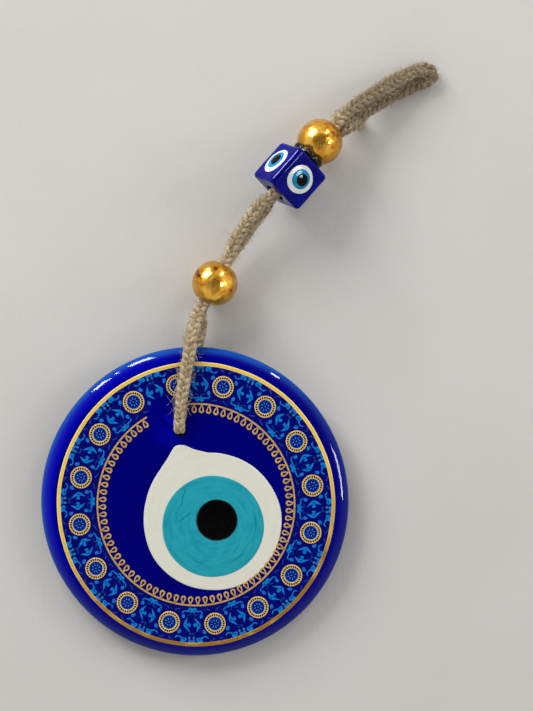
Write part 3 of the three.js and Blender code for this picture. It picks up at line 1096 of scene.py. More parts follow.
    def fuzz(
        self, part: slice, count: int, seed: int, clear: list[tuple[np.ndarray, float]], lie: float
    ) -> Sheet:
        """Lets short hairs stand off one stretch.

        A hair starts on the plait's side, and bends: point = root + t * out + t * lean + t^2 * curl.

        Args:
            part: the stretch of the path.
            count: number of hairs.
            seed: start of the random numbers.
            clear: centres and radii that hairs keep out of.
            lie: 0 for hairs that stand off, up to 1 for fibres that lie along the plait.

        Returns:
            One thin closed tube per hair.
        """
        chance = np.random.default_rng(seed)
        index = chance.integers(part.start + 6, part.stop - 6, count)
        angle = chance.uniform(0.0, TURN, count)
        across, up, along = self.across[index], self.up[index], self.along[index]
        reach_across, reach_up = self.width / 2 - 0.5, self.thickness / 2 - 0.45
        half = np.stack([np.cos(angle) * reach_across, np.sin(angle) * reach_up], 1)
        root = self.points[index] + half[:, :1] * across + half[:, 1:] * up
        out = np.cos(angle)[:, None] * across + 0.55 * np.sin(angle)[:, None] * up
        lean = along * chance.normal(0.0, 1.1, (count, 1))
        curl = chance.normal(0.0, 0.35, (count, 3))
        length = chance.gamma(1.6, 0.5, (count, 1)) + 0.35
        t = np.linspace(0.0, 1.0, 6)[None, :, None]
        reach = np.minimum(length, 3.6)[:, None]
        flow = along * np.sign(chance.normal(size=(count, 1)))
        start = unit((1.0 - 0.86 * lie) * out + 0.6 * (1.0 - lie) * lean + lie * flow)
        reach = reach * (1.0 + 0.9 * lie)
        bent = ((1.0 - 0.5 * lie) * curl[:, None] * reach) * t**2
        centres = root[:, None] + start[:, None] * t * reach + bent
        centres[..., 2] = np.maximum(centres[..., 2], 0.15)
        keep = np.ones(count, bool)
        for middle, radius in clear:
            keep &= np.all(np.linalg.norm(centres - middle, axis=2) > radius, axis=1)
        centres = centres[keep]
        run = unit(np.gradient(centres, axis=1))
        side = unit(np.cross(run, np.array([0.31, 0.22, 0.92])))
        radius = np.linspace(0.06, 0.022, 6)[None] * np.full((len(centres), 1), 1.0 + 0.75 * lie)
        sheet = tubes(centres, side, np.cross(side, run), radius, 3)
        sheet.points = sheet.points / 1000.0
        return sheet

    def frayed_end(self) -> Sheet:
        """Splays loose fibres from the tail's end: each is a bent tube that widens the bundle."""
        chance = np.random.default_rng(11)
        count = 90
        direction = -self.along[0]
        across, up = self.across[6], self.up[6]
        root = self.points[6] + chance.uniform(-2.0, 2.0, (count, 1)) * across
        root = root + chance.uniform(-1.1, 1.1, (count, 1)) * up
        spread_out = chance.normal(0.0, 0.22, (count, 3)) * np.array([1.0, 1.0, 0.45])
        length = chance.uniform(2.0, 3.9, (count, 1))[:, None]
        t = np.linspace(0.0, 1.0, 8)[None, :, None]
        bend = chance.normal(0.0, 0.16, (count, 1, 3))
        centres = root[:, None] + (direction + spread_out[:, None] * t) * length * t + bend * length * t**2
        centres[..., 2] = np.maximum(centres[..., 2], 0.25)
        run = unit(np.gradient(centres, axis=1))
        side = unit(np.cross(run, np.array([0.31, 0.22, 0.92])))
        radius = np.linspace(0.16, 0.05, 8)[None] * chance.uniform(0.6, 1.2, (count, 1))
        sheet = tubes(centres, side, np.cross(side, run), radius, 5)
        grain = np.stack([np.zeros_like(t), np.zeros_like(t), t * 4.0], axis=-1)[..., 0, :]
        grain = grain + chance.uniform(0.0, 60.0, (count, 1, 3))
        along_hair = np.repeat(grain.reshape(-1, 3), 5, axis=0)
        sheet.extras["grain"] = np.concatenate([along_hair, grain[:, 0], grain[:, -1]])
        sheet.extras["depth"] = np.zeros(len(sheet.points))
        sheet.points = sheet.points / 1000.0
        return sheet

    def build(self) -> tuple[bpy.types.Object, bpy.types.Object]:
        """Makes the three stretches, their hairs and the frayed end.

        Returns:
            The front stretch and the back stretch.
        """
        self.lay()
        jute, hair = Jute().material(), JuteFibre().material()
        first, second = self.cuts
        back = make_object("cord_back_plait", self.yarns(slice(0, first + 1)), [jute])
        turn = make_object("cord_hole_plait", self.yarns(slice(first, second + 1)), [jute])
        front = make_object("cord_front_plait", self.yarns(slice(second, len(self.points))), [jute])
        frayed = make_object("cord_frayed_end", self.frayed_end(), [jute])
        beads = [
            (np.array([7.9, 85.1, 8.9]), 9.1),
            (np.array([48.63, 139.58, 11.1]), 9.1),
            (np.array([37.0, 126.2, 12.6]), 11.0),
        ]
        split = int(np.argmax(self.place >= self.loop_start - 4.0))
        parts = (
            ("front_hairs", slice(second, split), 1500, 2800),
            ("loop_hairs", slice(split, len(self.points)), 1500, 3300),
            ("back_hairs", slice(0, first), 1000, 2600),
        )
        hairs = []
        for number, (name, part, standing, lying) in enumerate(parts):
            fuzz = [
                self.fuzz(part, standing, 5 + number, beads, 0.0),
                self.fuzz(part, lying, 15 + number, beads, 0.85),
            ]
            hairs.append(make_object(name, Sheet.joined(fuzz), [hair]))
        settle(front, Body.CORD, "jute", "cord_front_and_loop")
        settle(turn, Body.CORD, "jute", "cord_hole_turn")
        settle(back, Body.CORD, "jute", "cord_back_and_tail")
        for piece in (frayed, *hairs):
            settle(piece, Body.CORD, "jute")
        return front, back


# ---------------------------------------------------------------- the glass disc and its eye


@dataclass
class GlassDisc:
    """The cobalt disc, with a soft rim, a hole for the cord and a dimple pressed round the hole.

    Attributes:
        radius: outer radius at the sides, in millimetres like the rest.
        oval: how much wider the hand-made outline is along Y, as oval * sin(angle)^2.
        sag: how much further it reaches at the bottom, as -sag * sin(angle).
        rim_reach: how far in from the edge the face starts to fall away.
        rim_drop: how far it falls, as a quarter ellipse.
        back_round: rounding of the rim's lower edge.
        hole_x: place of the hole.
        hole_y: place of the hole.
        hole_radius: radius of the hole.
        lip: rounding of the hole's edges.
        spokes: points round the disc.
        rings: points from the hole to the rim.
        face_gloss: strength of the flat face's reflections.
        glow_side: angle at which the painted light of the outer ring is strongest, in degrees.
        glow_from: radius at which that painted ring of light begins.
        rim_side: angle at which the painted light through the edge is strongest, in degrees.
        rim_from: radius at which the painted lit strip of the edge begins.
        rim_gloss: strength of the fire-polished rim's reflections.
        pips: small beads of glass by the dimple, as (x, y, width, height).
    """

    radius: float = 60.1
    oval: float = 0.65
    sag: float = 0.25
    rim_reach: float = 5.0
    rim_drop: float = 3.7
    back_round: float = 3.0
    hole_x: float = -5.52
    hole_y: float = 28.1
    hole_radius: float = 2.4
    lip: float = 0.8
    spokes: int = 384
    rings: int = 110
    face_gloss: float = 0.005
    glow_side: float = 150.0
    glow_from: float = 53.6
    rim_side: float = 130.0
    rim_from: float = 57.6
    rim_gloss: float = 0.12
    pips: tuple[tuple[float, float, float, float], ...] = (
        (-16.4, 28.1, 0.55, 0.30),
        (-14.3, 33.2, 0.45, 0.16),
        (-12.6, 24.2, 0.40, 0.12),
        (-1.9, 24.3, 0.55, 0.26),
    )

    def spoke_ends(self) -> tuple[np.ndarray, np.ndarray, np.ndarray]:
        """Finds where each spoke from the hole meets the rim.

        The distance is -h.d + sqrt((h.d)^2 + radius^2 - h^2) for a hole at h and a direction d.

        Returns:
            The spokes' directions, the rim's directions from the disc's middle, and the hole's place.
        """
        angles = TURN * np.arange(self.spokes) / self.spokes
        direction = np.stack([np.cos(angles), np.sin(angles)], axis=1)
        hole = np.array([self.hole_x, self.hole_y])
        dot = direction @ hole
        distance = -dot + np.sqrt(dot**2 + self.radius**2 - hole @ hole)
        return direction, unit(hole + direction * distance[:, None]), hole

    def surface(self) -> Sheet:
        """Builds the disc as one closed ring of sections, each a loop from the hole over the rim and back.

        Returns:
            The surface, with values of painted light for the face and for the rim.
        """
        direction, rim, hole = self.spoke_ends()
        top, lip = DISC.thickness, self.lip
        lips = arc((self.hole_radius + lip, -lip), lip, 180.0, 90.0, 5)
        start = hole + direction * (self.hole_radius + lip)
        edge = self.radius + self.oval * rim[:, 1:] ** 2 - self.sag * rim[:, 1:]
        inner_end = rim * (edge - self.rim_reach)
        share = (np.linspace(0.0, 1.0, self.rings) ** 1.35)[1:, None, None]
        face = start + share * (inner_end - start)
        upper = arc((0.0, 0.0), 1.0, 90.0, 0.0, 16)[1:]
        upper = upper * [self.rim_reach, self.rim_drop] - [self.rim_reach, self.rim_drop]
        lower = arc((-self.back_round, self.back_round), self.back_round, 0.0, -90.0, 8)
        back_start = rim * (edge - self.back_round)
        back = back_start + np.linspace(0.0, 1.0, 9)[1:-1, None, None] * (start - back_start)
        under = arc((self.hole_radius + lip, lip), lip, 270.0, 180.0, 5)

        def with_height(flat: np.ndarray, height: np.ndarray) -> np.ndarray:
            """Adds heights to flat points."""
            return np.concatenate([flat, np.broadcast_to(height, flat.shape[:-1])[..., None]], axis=-1)

        mouth = hole + direction * lips[:, :1, None]
        mouth_face = DISC.face(mouth[..., 0], mouth[..., 1])
        rows = [
            with_height(mouth, mouth_face + lips[:, 1:]),
            with_height(face, DISC.face(face[..., 0], face[..., 1]) + self.pip_height(face)),
            with_height(rim * (edge + upper[:, :1, None]), top + upper[:, 1:]),
            with_height(rim * (edge + lower[:, :1, None]), lower[:, 1:]),
            with_height(back, np.zeros((1, 1))),
            with_height(hole + direction * under[:, :1, None], under[:, 1:]),
        ]
        points = np.concatenate(rows)
        faces = grid_faces(len(points), self.spokes, wrap_rows=True, wrap_columns=True)
        inner = len(rows[0]) + len(rows[1]) - 1
        parts = np.split(faces, [inner * self.spokes])
        flat = points.reshape(-1, 3)
        return Sheet(DISC.world(flat), parts, [0, 1], {"painted_glow": self.painted_glow(flat), "rim": self.painted_rim_light(flat)})

    def pip_height(self, flat: np.ndarray) -> np.ndarray:
        """Height of the small beads of glass: height * exp(-(distance / width)^2) for each."""
        x, y, width, height = np.array(self.pips).T
        away = np.hypot(flat[..., :1] - x, flat[..., 1:] - y)
        return (height * np.exp(-((away / width) ** 2))).sum(axis=-1)

    def painted_glow(self, points: np.ndarray) -> np.ndarray:
        """Painted light and shade in the glass: brighter in the dimple, on the lit left side and in a streak
        by the hole, with a painted shadow beside the streak.
        """
        x, y, _ = points.T
        dimple = np.clip(1.2 - DISC.crater_reach(x, y), 0.0, 1.0) ** 0.8
        lit_side = np.clip(1.2 * np.cos(np.arctan2(y, x) - math.radians(self.glow_side)), 0.0, 1.0) ** 1.5
        ring = np.clip((np.hypot(x, y) - self.glow_from) / 1.5, 0.0, 1.0)
        along = (x + 9.9) * 0.72 + (y - 32.1) * -0.69
        across = (x + 9.9) * 0.69 + (y - 32.1) * 0.72
        # Painted highlight: a bright streak of gathered light by the hole.
        streak = 1.1 * np.exp(-((along / 2.2) ** 2) - (across / 0.75) ** 2)
        # Painted shadow beside the streak.
        shadow = 0.5 * np.exp(-((along / 2.4) ** 2) - ((across + 1.5) / 0.7) ** 2)
        return np.clip(0.04 + 0.34 * dimple + (0.05 + 0.46 * lit_side) * ring + streak - shadow, 0.0, 1.0)

    def painted_rim_light(self, points: np.ndarray) -> np.ndarray:
        """Painted light: the thin strip where light passes through the edge, strongest on the lit side."""
        out = np.hypot(points[:, 0], points[:, 1])
        angle = np.arctan2(points[:, 1], points[:, 0]) - math.radians(self.rim_side)
        lit_side = np.clip(0.45 + 0.7 * np.cos(angle), 0.12, 1.0)
        return np.clip((out - self.rim_from) / 2.0, 0.0, 1.0) ** 1.3 * 1.5 * lit_side

    def build(self) -> bpy.types.Object:
        """Makes the disc in place of its plain node, and returns it."""
        finishes = [CobaltGlass(self.face_gloss).material(), CobaltGlass(self.rim_gloss).material()]
        piece = make_object("cobalt_disc", self.surface(), finishes)
        settle(piece, Body.DISC, "cobalt_glass", "glass_disc")
        return piece


@dataclass
class FusedEye:
    """The eye: a white drop whose cut-off tip points at the hole, a turquoise iris and a black pupil.

    Attributes:
        drop_x: middle of the drop to the right of the disc's middle.
        drop_y: the same, towards the hole.
        drop_radius: radius of the drop.
        iris_x: middle of the iris, to the right.
        iris_y: the same, towards the hole.
        iris_radius: radius of the iris.
        pupil_x: middle of the pupil, to the right.
        pupil_y: the same, towards the hole.
        pupil_radius: radius of the pupil.
        streaks: the darker lines drawn into the iris, each as three places and a half width.
    """

    drop_x: float = 7.02
    drop_y: float = -7.5
    drop_radius: float = 26.8
    iris_x: float = 7.22
    iris_y: float = -9.2
    iris_radius: float = 19.8
    pupil_x: float = 8.72
    pupil_y: float = -6.7
    pupil_radius: float = 8.1
    streaks: tuple[tuple[tuple[tuple[float, float], ...], float], ...] = (
        (((-6.0, -7.4), (-3.6, -5.4), (-1.0, -3.9)), 0.26),
        (((-4.9, -1.6), (-4.6, 2.2), (-3.4, 5.6)), 0.22),
        (((23.2, -3.6), (24.1, -9.0), (22.2, -15.6)), 0.11),
        (((13.4, -23.4), (18.0, -20.4), (21.2, -15.4)), 0.10),
        (((-3.2, -19.0), (0.6, -22.8), (5.4, -25.0)), 0.10),
    )
    tip: tuple[tuple[float, float], ...] = (
        (80.0, 27.0),
        (93.0, 27.2),
        (98.0, 28.0),
        (102.4, 29.0),
        (106.0, 30.3),
        (108.8, 31.75),
        (110.2, 32.4),
        (112.5, 32.9),
        (115.2, 33.4),
        (116.6, 33.3),
        (119.0, 32.4),
        (124.0, 30.8),
        (130.0, 29.6),
        (136.0, 28.8),
        (148.6, 28.0),
        (162.8, 27.2),
        (176.0, 27.0),
    )

    def drop_outline(self) -> np.ndarray:
        """The drop's outline: a circle whose radius follows the tip's table between its angles."""
        angles = np.linspace(0.0, 360.0, 512, endpoint=False)
        table = np.array(self.tip)
        radius = np.interp(angles, table[:, 0], table[:, 1]) * self.drop_radius / 27.0
        before, after = np.roll(radius, 2) + np.roll(radius, 1), np.roll(radius, -1) + np.roll(radius, -2)
        smooth = (before + radius + after) / 5
        waver = 0.10 * np.sin(np.radians(angles) * 5 + 1.0) + 0.05 * np.sin(np.radians(angles) * 9)
        turn = np.radians(angles)
        reach = smooth + waver
        return np.stack([self.drop_x + reach * np.cos(turn), self.drop_y + reach * np.sin(turn)], axis=1)

    def round_outline(self, x: float, y: float, radius: float, wobble: float) -> np.ndarray:
        """A hand-made round outline: radius * (1 + small waves of two, three and seven lobes)."""
        turn = TURN * np.arange(256) / 256
        waves = 0.6 * np.cos(2 * turn - 2.2) + 0.5 * np.cos(3 * turn + 0.6) + 0.25 * np.cos(7 * turn)
        reach = radius * (1.0 + wobble * waves)
        return np.stack([x + reach * np.cos(turn), y + reach * np.sin(turn)], axis=1)

    def layer(
        self, outline: np.ndarray, centre: tuple[float, float], base: float, dome: float, sink: float
    ) -> Sheet:
        """Builds one glass layer with a soft edge that stands on the layer below.

        Args:
            outline: its outline.
            centre: its middle.
            base: level of its edge over the face.
            dome: extra height in its middle.
            sink: depth of its underside.

        Returns:
            The layer, with the grain vector that swirls round its middle.
        """
        edge = [(1.0, 0.30, 0.0), (1.0, 0.14, -0.03), (1.0, 0.04, -0.08), (1.0, 0.0, -0.16)]
        top = [(s, 0.0, base + dome * (1.0 - s**2)) for s in (0.06, 0.2, 0.36, 0.52, 0.68, 0.82, 0.92, 0.97)]
        side = [(s, inset, base + drop) for s, inset, drop in edge]
        below = [(1.0, 0.02, -sink), (0.7, 0.0, -sink), (0.3, 0.0, -sink)]
        sheet = lens(outline, centre, top + side + below)
        local = sheet.points * 1000.0
        x, y = local[:, 0] - centre[0], local[:, 1] - DISC.forward - centre[1]
        reach, turn = np.hypot(x, y), np.arctan2(y, x)
        bend = turn + 0.035 * reach
        sheet.extras["grain"] = np.stack([reach * 0.75, np.cos(bend) * 2.6, np.sin(bend) * 2.6], axis=1)
        return sheet

    def drawn_streaks(self) -> bpy.types.Object:
        """Lays the darker teal streaks that the rod drew into the iris.

        Returns:
            The streaks as one piece.
        """
        s = np.linspace(0.0, 1.0, 15)
        places = [np.array(streak) for streak, _ in self.streaks]
        lines = np.array([[np.interp(s, [0.0, 0.5, 1.0], place[:, k]) for k in (0, 1)] for place in places])
        taper = np.maximum(np.sin(np.pi * s) ** 0.6, 0.05)
        half = np.array([width for _, width in self.streaks])[:, None] * taper
        line = lines.transpose(0, 2, 1)
        smooth = (line + np.roll(line, 1, axis=1) + np.roll(line, -1, axis=1)) / 3
        line[:, 1:-1] = smooth[:, 1:-1]
        teal = FusedGlass("drawn_teal", (0.006, 0.19, 0.26), (0.003, 0.14, 0.21), 0.5).material()
        return make_object("iris_streaks", strokes(line, half, 0.1, 0.335), [teal], False)

    def build(self) -> None:
        """Makes the three layers in place of their plain nodes."""
        white = FusedGlass("white_glass", (0.565, 0.56, 0.485), (0.49, 0.485, 0.41), 0.30).material()
        turquoise = FusedGlass("turquoise_glass", (0.017, 0.275, 0.345), (0.003, 0.19, 0.27), 0.60).material()
        black = FusedGlass("black_glass", (0.0008, 0.0008, 0.001), (0.003, 0.003, 0.004), 0.5).material()
        drop_centre = (self.drop_x, self.drop_y)
        white_layer = self.layer(self.drop_outline(), drop_centre, 0.10, 0.10, 0.5)
        drop = make_object("milk_white_drop", white_layer, [white])
        settle(drop, Body.DISC, "white_glass", "white_drop")
        outline = self.round_outline(self.iris_x, self.iris_y, self.iris_radius, 0.006)
        iris = make_object(
            "swirled_iris", self.layer(outline, (self.iris_x, self.iris_y), 0.24, 0.10, 0.3), [turquoise]
        )
        settle(iris, Body.DISC, "turquoise_glass", "turquoise_iris")
        settle(self.drawn_streaks(), Body.DISC, "turquoise_glass")
        outline = self.round_outline(self.pupil_x, self.pupil_y, self.pupil_radius, 0.008)
        pupil = make_object(
            "round_pupil", self.layer(outline, (self.pupil_x, self.pupil_y), 0.42, 0.12, 0.2), [black]
        )
        settle(pupil, Body.DISC, "black_glass", "black_pupil")


# ---------------------------------------------------------------- the printed border


@dataclass(frozen=True)
class Motif:
    """One brush stroke of the border, given in a frame at a medallion's middle.

    Attributes:
        line: places (clockwise, outward) in millimetres that the stroke passes.
        width: half width at its widest.
        shape: 0 for a blunt leaf, 1 for a line that thins to its end.
        tone: which ink it uses.
    """

    line: tuple[tuple[float, float], ...]
    width: float
    shape: float
    tone: int


@dataclass
class PrintedBorder:
    """The printed border: a band of ink, a gold outer line, a gold lace line and blue scrollwork.

    Attributes:
        centre: middle of the print in the disc's frame.
        border: radius of the outer gold line.
        border_width: its width.
        lace: radius of the inner gold line.
        lace_width: its width.
        gap: angles between which the lace line is missing, in degrees.
        ring: radius of the circle of medallions.
        first: angle of the first medallion.
        count: number of medallions.
        loops: number of lace loops in a full turn.
        stations: places along one brush stroke.
        stretch: how the transfer was pulled as it was laid, as a matrix for (x, y).
        shift: how far it was laid off its mark.
        shaded_side: angle at which the gold line's painted shade is deepest, in degrees.
    """

    centre: tuple[float, float] = (0.4, -0.7)
    border: float = 53.9
    border_width: float = 1.45
    lace: float = 38.7
    lace_width: float = 0.62
    gap: tuple[float, float] = (94.8, 119.8)
    ring: float = 46.3
    first: float = 76.8
    count: int = 16
    loops: int = 80
    stations: int = 11
    stretch: tuple[tuple[float, float], ...] = ((0.9888, -0.0007), (0.0027, 1.018))
    shift: tuple[float, float] = (0.24, -0.13)
    shaded_side: float = 283.0

    def pulled(self, sheet: Sheet) -> Sheet:
        """Pulls a finished surface a little out of round, in its own plane."""
        flat = sheet.points[:, :2] * 1000.0 - np.array([0.0, DISC.forward])
        moved = flat @ np.array(self.stretch) + np.array(self.shift)
        step = (moved - flat) / 1000.0
        sheet.points = sheet.points + np.column_stack([step, step[:, 1] * math.tan(DISC.tilt)])
        return sheet

    def sector_angles(self) -> np.ndarray:
        """Angles of the sixteen repeats, in radians."""
        return np.radians(self.first) - TURN * np.arange(self.count) / self.count

    def placed(self, local: np.ndarray, radius: float) -> np.ndarray:
        """Repeats strokes of one sector round the disc.

        A place (t, r) becomes centre + (radius + r) * (cos, sin) of the sector's angle less t / (radius + r).

        Args:
            local: (m, n, 2) places, clockwise and outward, in one sector.
            radius: radius that r is measured from.

        Returns:
            (sectors * m, n, 2) places in the disc's frame.
        """
        reach = radius + local[None, ..., 1]
        angle = self.sector_angles()[:, None, None] - local[None, ..., 0] / reach
        x, y = self.centre
        flat = np.stack([x + reach * np.cos(angle), y + reach * np.sin(angle)], axis=-1)
        return flat.reshape(-1, *local.shape[1:])

    def motifs(self) -> list[Motif]:
        """The strokes of half a sector and those on its middle line; the rest are mirrored."""
        middle_blue, pale, dim, teal = 0, 1, 2, 3
        return [
            Motif(((2.9, -0.1), (2.5, 0.8), (2.0, 1.7), (1.3, 2.8)), 0.38, 1.0, middle_blue),
            Motif(((2.9, 0.1), (2.5, -0.8), (2.0, -1.7), (1.3, -2.8)), 0.38, 1.0, middle_blue),
            Motif(((2.95, 0.0), (2.5, 0.0), (1.9, 0.0), (1.2, 0.0)), 0.42, 0.0, middle_blue),
            Motif(((0.55, 0.0), (0.85, 0.0), (1.15, 0.0), (1.6, 0.0)), 0.50, 0.0, middle_blue),
            Motif(((4.1, 3.4), (4.45, 3.1), (4.8, 2.6), (5.0, 1.9)), 0.46, 0.0, pale),
            Motif(((5.3, -2.5), (5.05, -2.9), (4.9, -3.5), (5.05, -4.1)), 0.46, 0.0, pale),
            Motif(((6.0, 6.65), (6.7, 6.2), (7.5, 5.7), (8.2, 5.35)), 0.62, 0.0, middle_blue),
            Motif(((7.6, 5.75), (6.2, 5.2), (5.2, 4.7), (4.0, 4.45)), 0.24, 1.0, middle_blue),
            Motif(((4.6, 4.55), (4.1, 4.75), (3.7, 5.2), (3.5, 5.6)), 0.2, 1.0, middle_blue),
            Motif(((8.9, 3.9), (9.6, 3.3), (10.4, 3.2), (11.0, 3.5)), 0.16, 1.0, dim),
            Motif(((6.3, -6.3), (6.9, -5.95), (7.5, -5.5), (8.1, -5.2)), 0.6, 0.0, middle_blue),
            Motif(((7.4, -5.6), (6.3, -5.35), (5.3, -5.2), (4.5, -5.3)), 0.24, 1.0, middle_blue),
            Motif(((4.9, -5.25), (4.5, -4.9), (4.25, -4.4), (4.2, -4.0)), 0.18, 1.0, middle_blue),
            Motif(((8.9, 6.3), (9.4, 6.35), (9.9, 6.35), (10.4, 6.3)), 0.42, 0.0, pale),
            Motif(((10.6, 4.6), (10.9, 4.9), (11.0, 5.3), (10.9, 5.7)), 0.3, 0.0, teal),
            Motif(((1.0, 5.4), (1.6, 6.0), (2.4, 6.3), (3.3, 6.4)), 0.2, 1.0, dim),
            Motif(((8.6, -4.5), (9.2, -4.0), (9.9, -3.8), (10.6, -4.0)), 0.15, 1.0, dim),
            Motif(((1.2, -5.2), (1.9, -5.7), (2.7, -6.0), (3.5, -6.2)), 0.18, 1.0, dim),
        ]

    def scroll_strokes(self, tone: int) -> tuple[np.ndarray, np.ndarray]:
        """Works out the strokes of one ink.

        A line of four places is a cubic Bezier-like blend, sampled evenly, and mirrored across the
        middle of its sector.

        Args:
            tone: number of the ink.

        Returns:
            (m, n, 2) places in one sector and (m, n) half widths.
        """
        chosen = [m for m in self.motifs() if m.tone == tone]
        bold = 1.45
        t = np.linspace(0.0, 1.0, self.stations)[:, None]
        nodes = np.array([m.line for m in chosen])
        s = np.array([0.0, 1 / 3, 2 / 3, 1.0])
        basis = [np.prod([(t - s[j]) / (s[i] - s[j]) for j in range(4) if j != i], axis=0) for i in range(4)]
        lines = sum(basis[i][None] * nodes[:, i : i + 1] for i in range(4))
        width = bold * np.array([m.width for m in chosen])[:, None]
        shape = np.array([m.shape for m in chosen])[:, None]
        run = t[:, 0][None]
        blunt = np.sin(np.pi * np.clip(run, 0.001, 0.999)) ** 0.55
        thin = np.sin(np.pi * np.clip(0.5 + run / 2, 0.0, 0.997)) ** 0.8
        half = np.maximum(width * (shape * thin + (1 - shape) * blunt), 0.03)
        mirrored = lines * np.array([-1.0, 1.0])
        return np.concatenate([lines, mirrored[:, ::-1]]), np.concatenate([half, half[:, ::-1]])

    def off_dimple(self, flat: np.ndarray, reach: float = 1.02) -> np.ndarray:
        """True for strokes that the dimple and the hole leave whole."""
        return np.all(DISC.crater_reach(flat[..., 0], flat[..., 1]) > reach, axis=1)

    def scrollwork(self, tone: int, level: float) -> Sheet:
        """Builds all strokes of one ink round the disc."""
        local, half = self.scroll_strokes(tone)
        flat = self.placed(self.shifted(local), self.ring)
        half = np.tile(half, (self.count, 1))
        keep = self.off_dimple(flat)
        return strokes(flat[keep], half[keep], -0.08, level)

    def shifted(self, local: np.ndarray) -> np.ndarray:
        """Moves the spearhead pair, which lies midway between two medallions, half a sector on."""
        half_sector = math.pi * self.ring / self.count
        between = np.abs(local[..., 0]).max(axis=1) < 3.0
        inside = np.abs(local[..., 1]).max(axis=1) < 3.2
        moved = local.copy()
        moved[between & inside, :, 0] += half_sector
        return moved

    def band(self) -> Sheet:
        """Builds the ground of the print; its inner edge steps out round the dimple."""
        angles = np.degrees(TURN * np.arange(512) / 512)
        bulge = np.exp(-(((angles - 106.5) / 11.0) ** 4))
        inner = self.lace + 0.3 + bulge * 4.6
        outer = np.full(512, self.border)
        rows = [(0.0, 0.012), (0.33, 0.015), (0.66, 0.015), (1.0, 0.012), (1.0, -0.06), (0.0, -0.06)]
        return ring_plate(inner, outer, self.centre, rows)

    def border_line(self) -> Sheet:
        """Builds the outer gold line as a low ridge, with its across values and the values of its painted
        shade.
        """
        share = np.linspace(0.0, 1.0, 9)
        across = 2.0 * share - 1.0
        ridge = 0.05 + 0.07 * np.sqrt(np.clip(1.0 - across**2, 0.0, 1.0))
        rows = list(zip(share.tolist(), ridge.tolist())) + [(1.0, -0.08), (0.0, -0.08)]
        angles = TURN * np.arange(720) / 720
        waver = 0.05 * np.sin(9 * angles) + 0.04 * np.sin(23 * angles + 1.0)
        inner = self.border - self.border_width / 2 + waver
        outer = self.border + self.border_width / 2 + 0.7 * waver
        sheet = ring_plate(inner, outer, self.centre, rows)
        side = np.concatenate([across, [1.0, -1.0]])
        sheet.extras["across"] = np.repeat(side, 720)
        # Painted shade: strongest on the side of the disc away from the light.
        shade_amount = np.clip(0.1 + np.cos(angles - math.radians(self.shaded_side)), 0.0, 1.0) * 2.2
        sheet.extras["painted_shade"] = np.tile(shade_amount, len(rows))
        return sheet

    def lace_line(self) -> Sheet:
        """Builds the inner gold line, open at the hole, with the loops that hang from it.

        A loop is a closed stroke: t = 0.58 * sin(w) * (1 - cos(w)), r = -1.5 * (1 - cos(w)).
        """
        start, end = math.radians(self.gap[1]), math.radians(self.gap[0] + 360.0)
        turn = np.linspace(start, end, 360)
        x, y = self.centre
        line = np.stack([x + self.lace * np.cos(turn), y + self.lace * np.sin(turn)], 1)
        ring = strokes(line[None], np.full((1, 360), self.lace_width / 2), -0.08, 0.07)
        middle = np.linspace(0.0, TURN, self.loops, endpoint=False) + 0.02
        behind = (middle - start) % TURN
        middle = middle[(behind > 0.03) & (behind < end - start - 0.03)]
        w = np.linspace(0.35, TURN - 0.35, 15)
        t = 0.76 * np.sin(w) * (1.0 - np.cos(w)) / 1.3
        r = -0.15 - 1.5 * (1.0 - np.cos(w))
        angle = middle[:, None] - t / (self.lace + r)
        flat = np.stack(
            [
                self.centre[0] + (self.lace + r) * np.cos(angle),
                self.centre[1] + (self.lace + r) * np.sin(angle),
            ],
            axis=-1,
        )
        half = np.broadcast_to(0.25 - 0.08 * np.cos(w), (len(middle), 15))
        keep = self.off_dimple(flat, 0.97)
        return Sheet.joined([ring, strokes(flat[keep], half[keep], -0.08, 0.17)])

    def medallion(self, number: int) -> Sheet:
        """Builds one medallion: gold ring, dark dots, teal edge, blue field, navy middle and petals."""
        angle = self.sector_angles()[number]
        x = self.centre[0] + self.ring * math.cos(angle)
        y = self.centre[1] + self.ring * math.sin(angle)
        turn = TURN * np.arange(48) / 48
        circle = np.stack([np.cos(turn), np.sin(turn)], axis=1)

        def plate(radius: float, level: float) -> Sheet:
            """A flat round of ink."""
            rows = [(0.35, 0.0, level), (0.8, 0.0, level), (1.0, 0.0, level - 0.01)]
            rows += [(1.0, 0.0, -0.06), (0.4, 0.0, -0.06)]
            return lens(np.array([x, y]) + radius * circle, (x, y), rows)

        full = np.full(48, 1.0)
        rows = [(0.0, 0.075), (0.25, 0.105), (0.75, 0.105), (1.0, 0.075), (1.0, -0.06), (0.0, -0.06)]
        ring = ring_plate(2.72 * full, 4.18 * full, (x, y), rows).finish(0)
        dots = self.spots(x, y, 24, 3.42, 0.42, 0.36, 0.125).finish(1)
        petals = self.spots(x, y, 8, 1.32, 0.42, 0.22, 0.085).finish(5)
        fields = [plate(2.82, 0.05).finish(2), plate(2.5, 0.06).finish(3), plate(1.9, 0.07).finish(4)]
        heart = self.spots(x, y, 1, 0.0, 0.3, 0.26, 0.085).finish(5)
        return Sheet.joined([ring, dots, petals, heart, *fields])

    def spots(
        self, x: float, y: float, count: int, reach: float, long: float, half: float, level: float
    ) -> Sheet:
        """Sets small oval spots in a ring round a place, each pointing outward."""
        angle = TURN * np.arange(count)[:, None] / count + 0.3
        s = np.linspace(-1.0, 1.0, 7)
        out = reach + long * s
        flat = np.stack([x + out * np.cos(angle), y + out * np.sin(angle)], axis=-1)
        width = np.maximum(half * np.sqrt(np.clip(1.0 - s**2, 0.0, 1.0)), 0.03)
        return strokes(flat, width, 0.0, level)

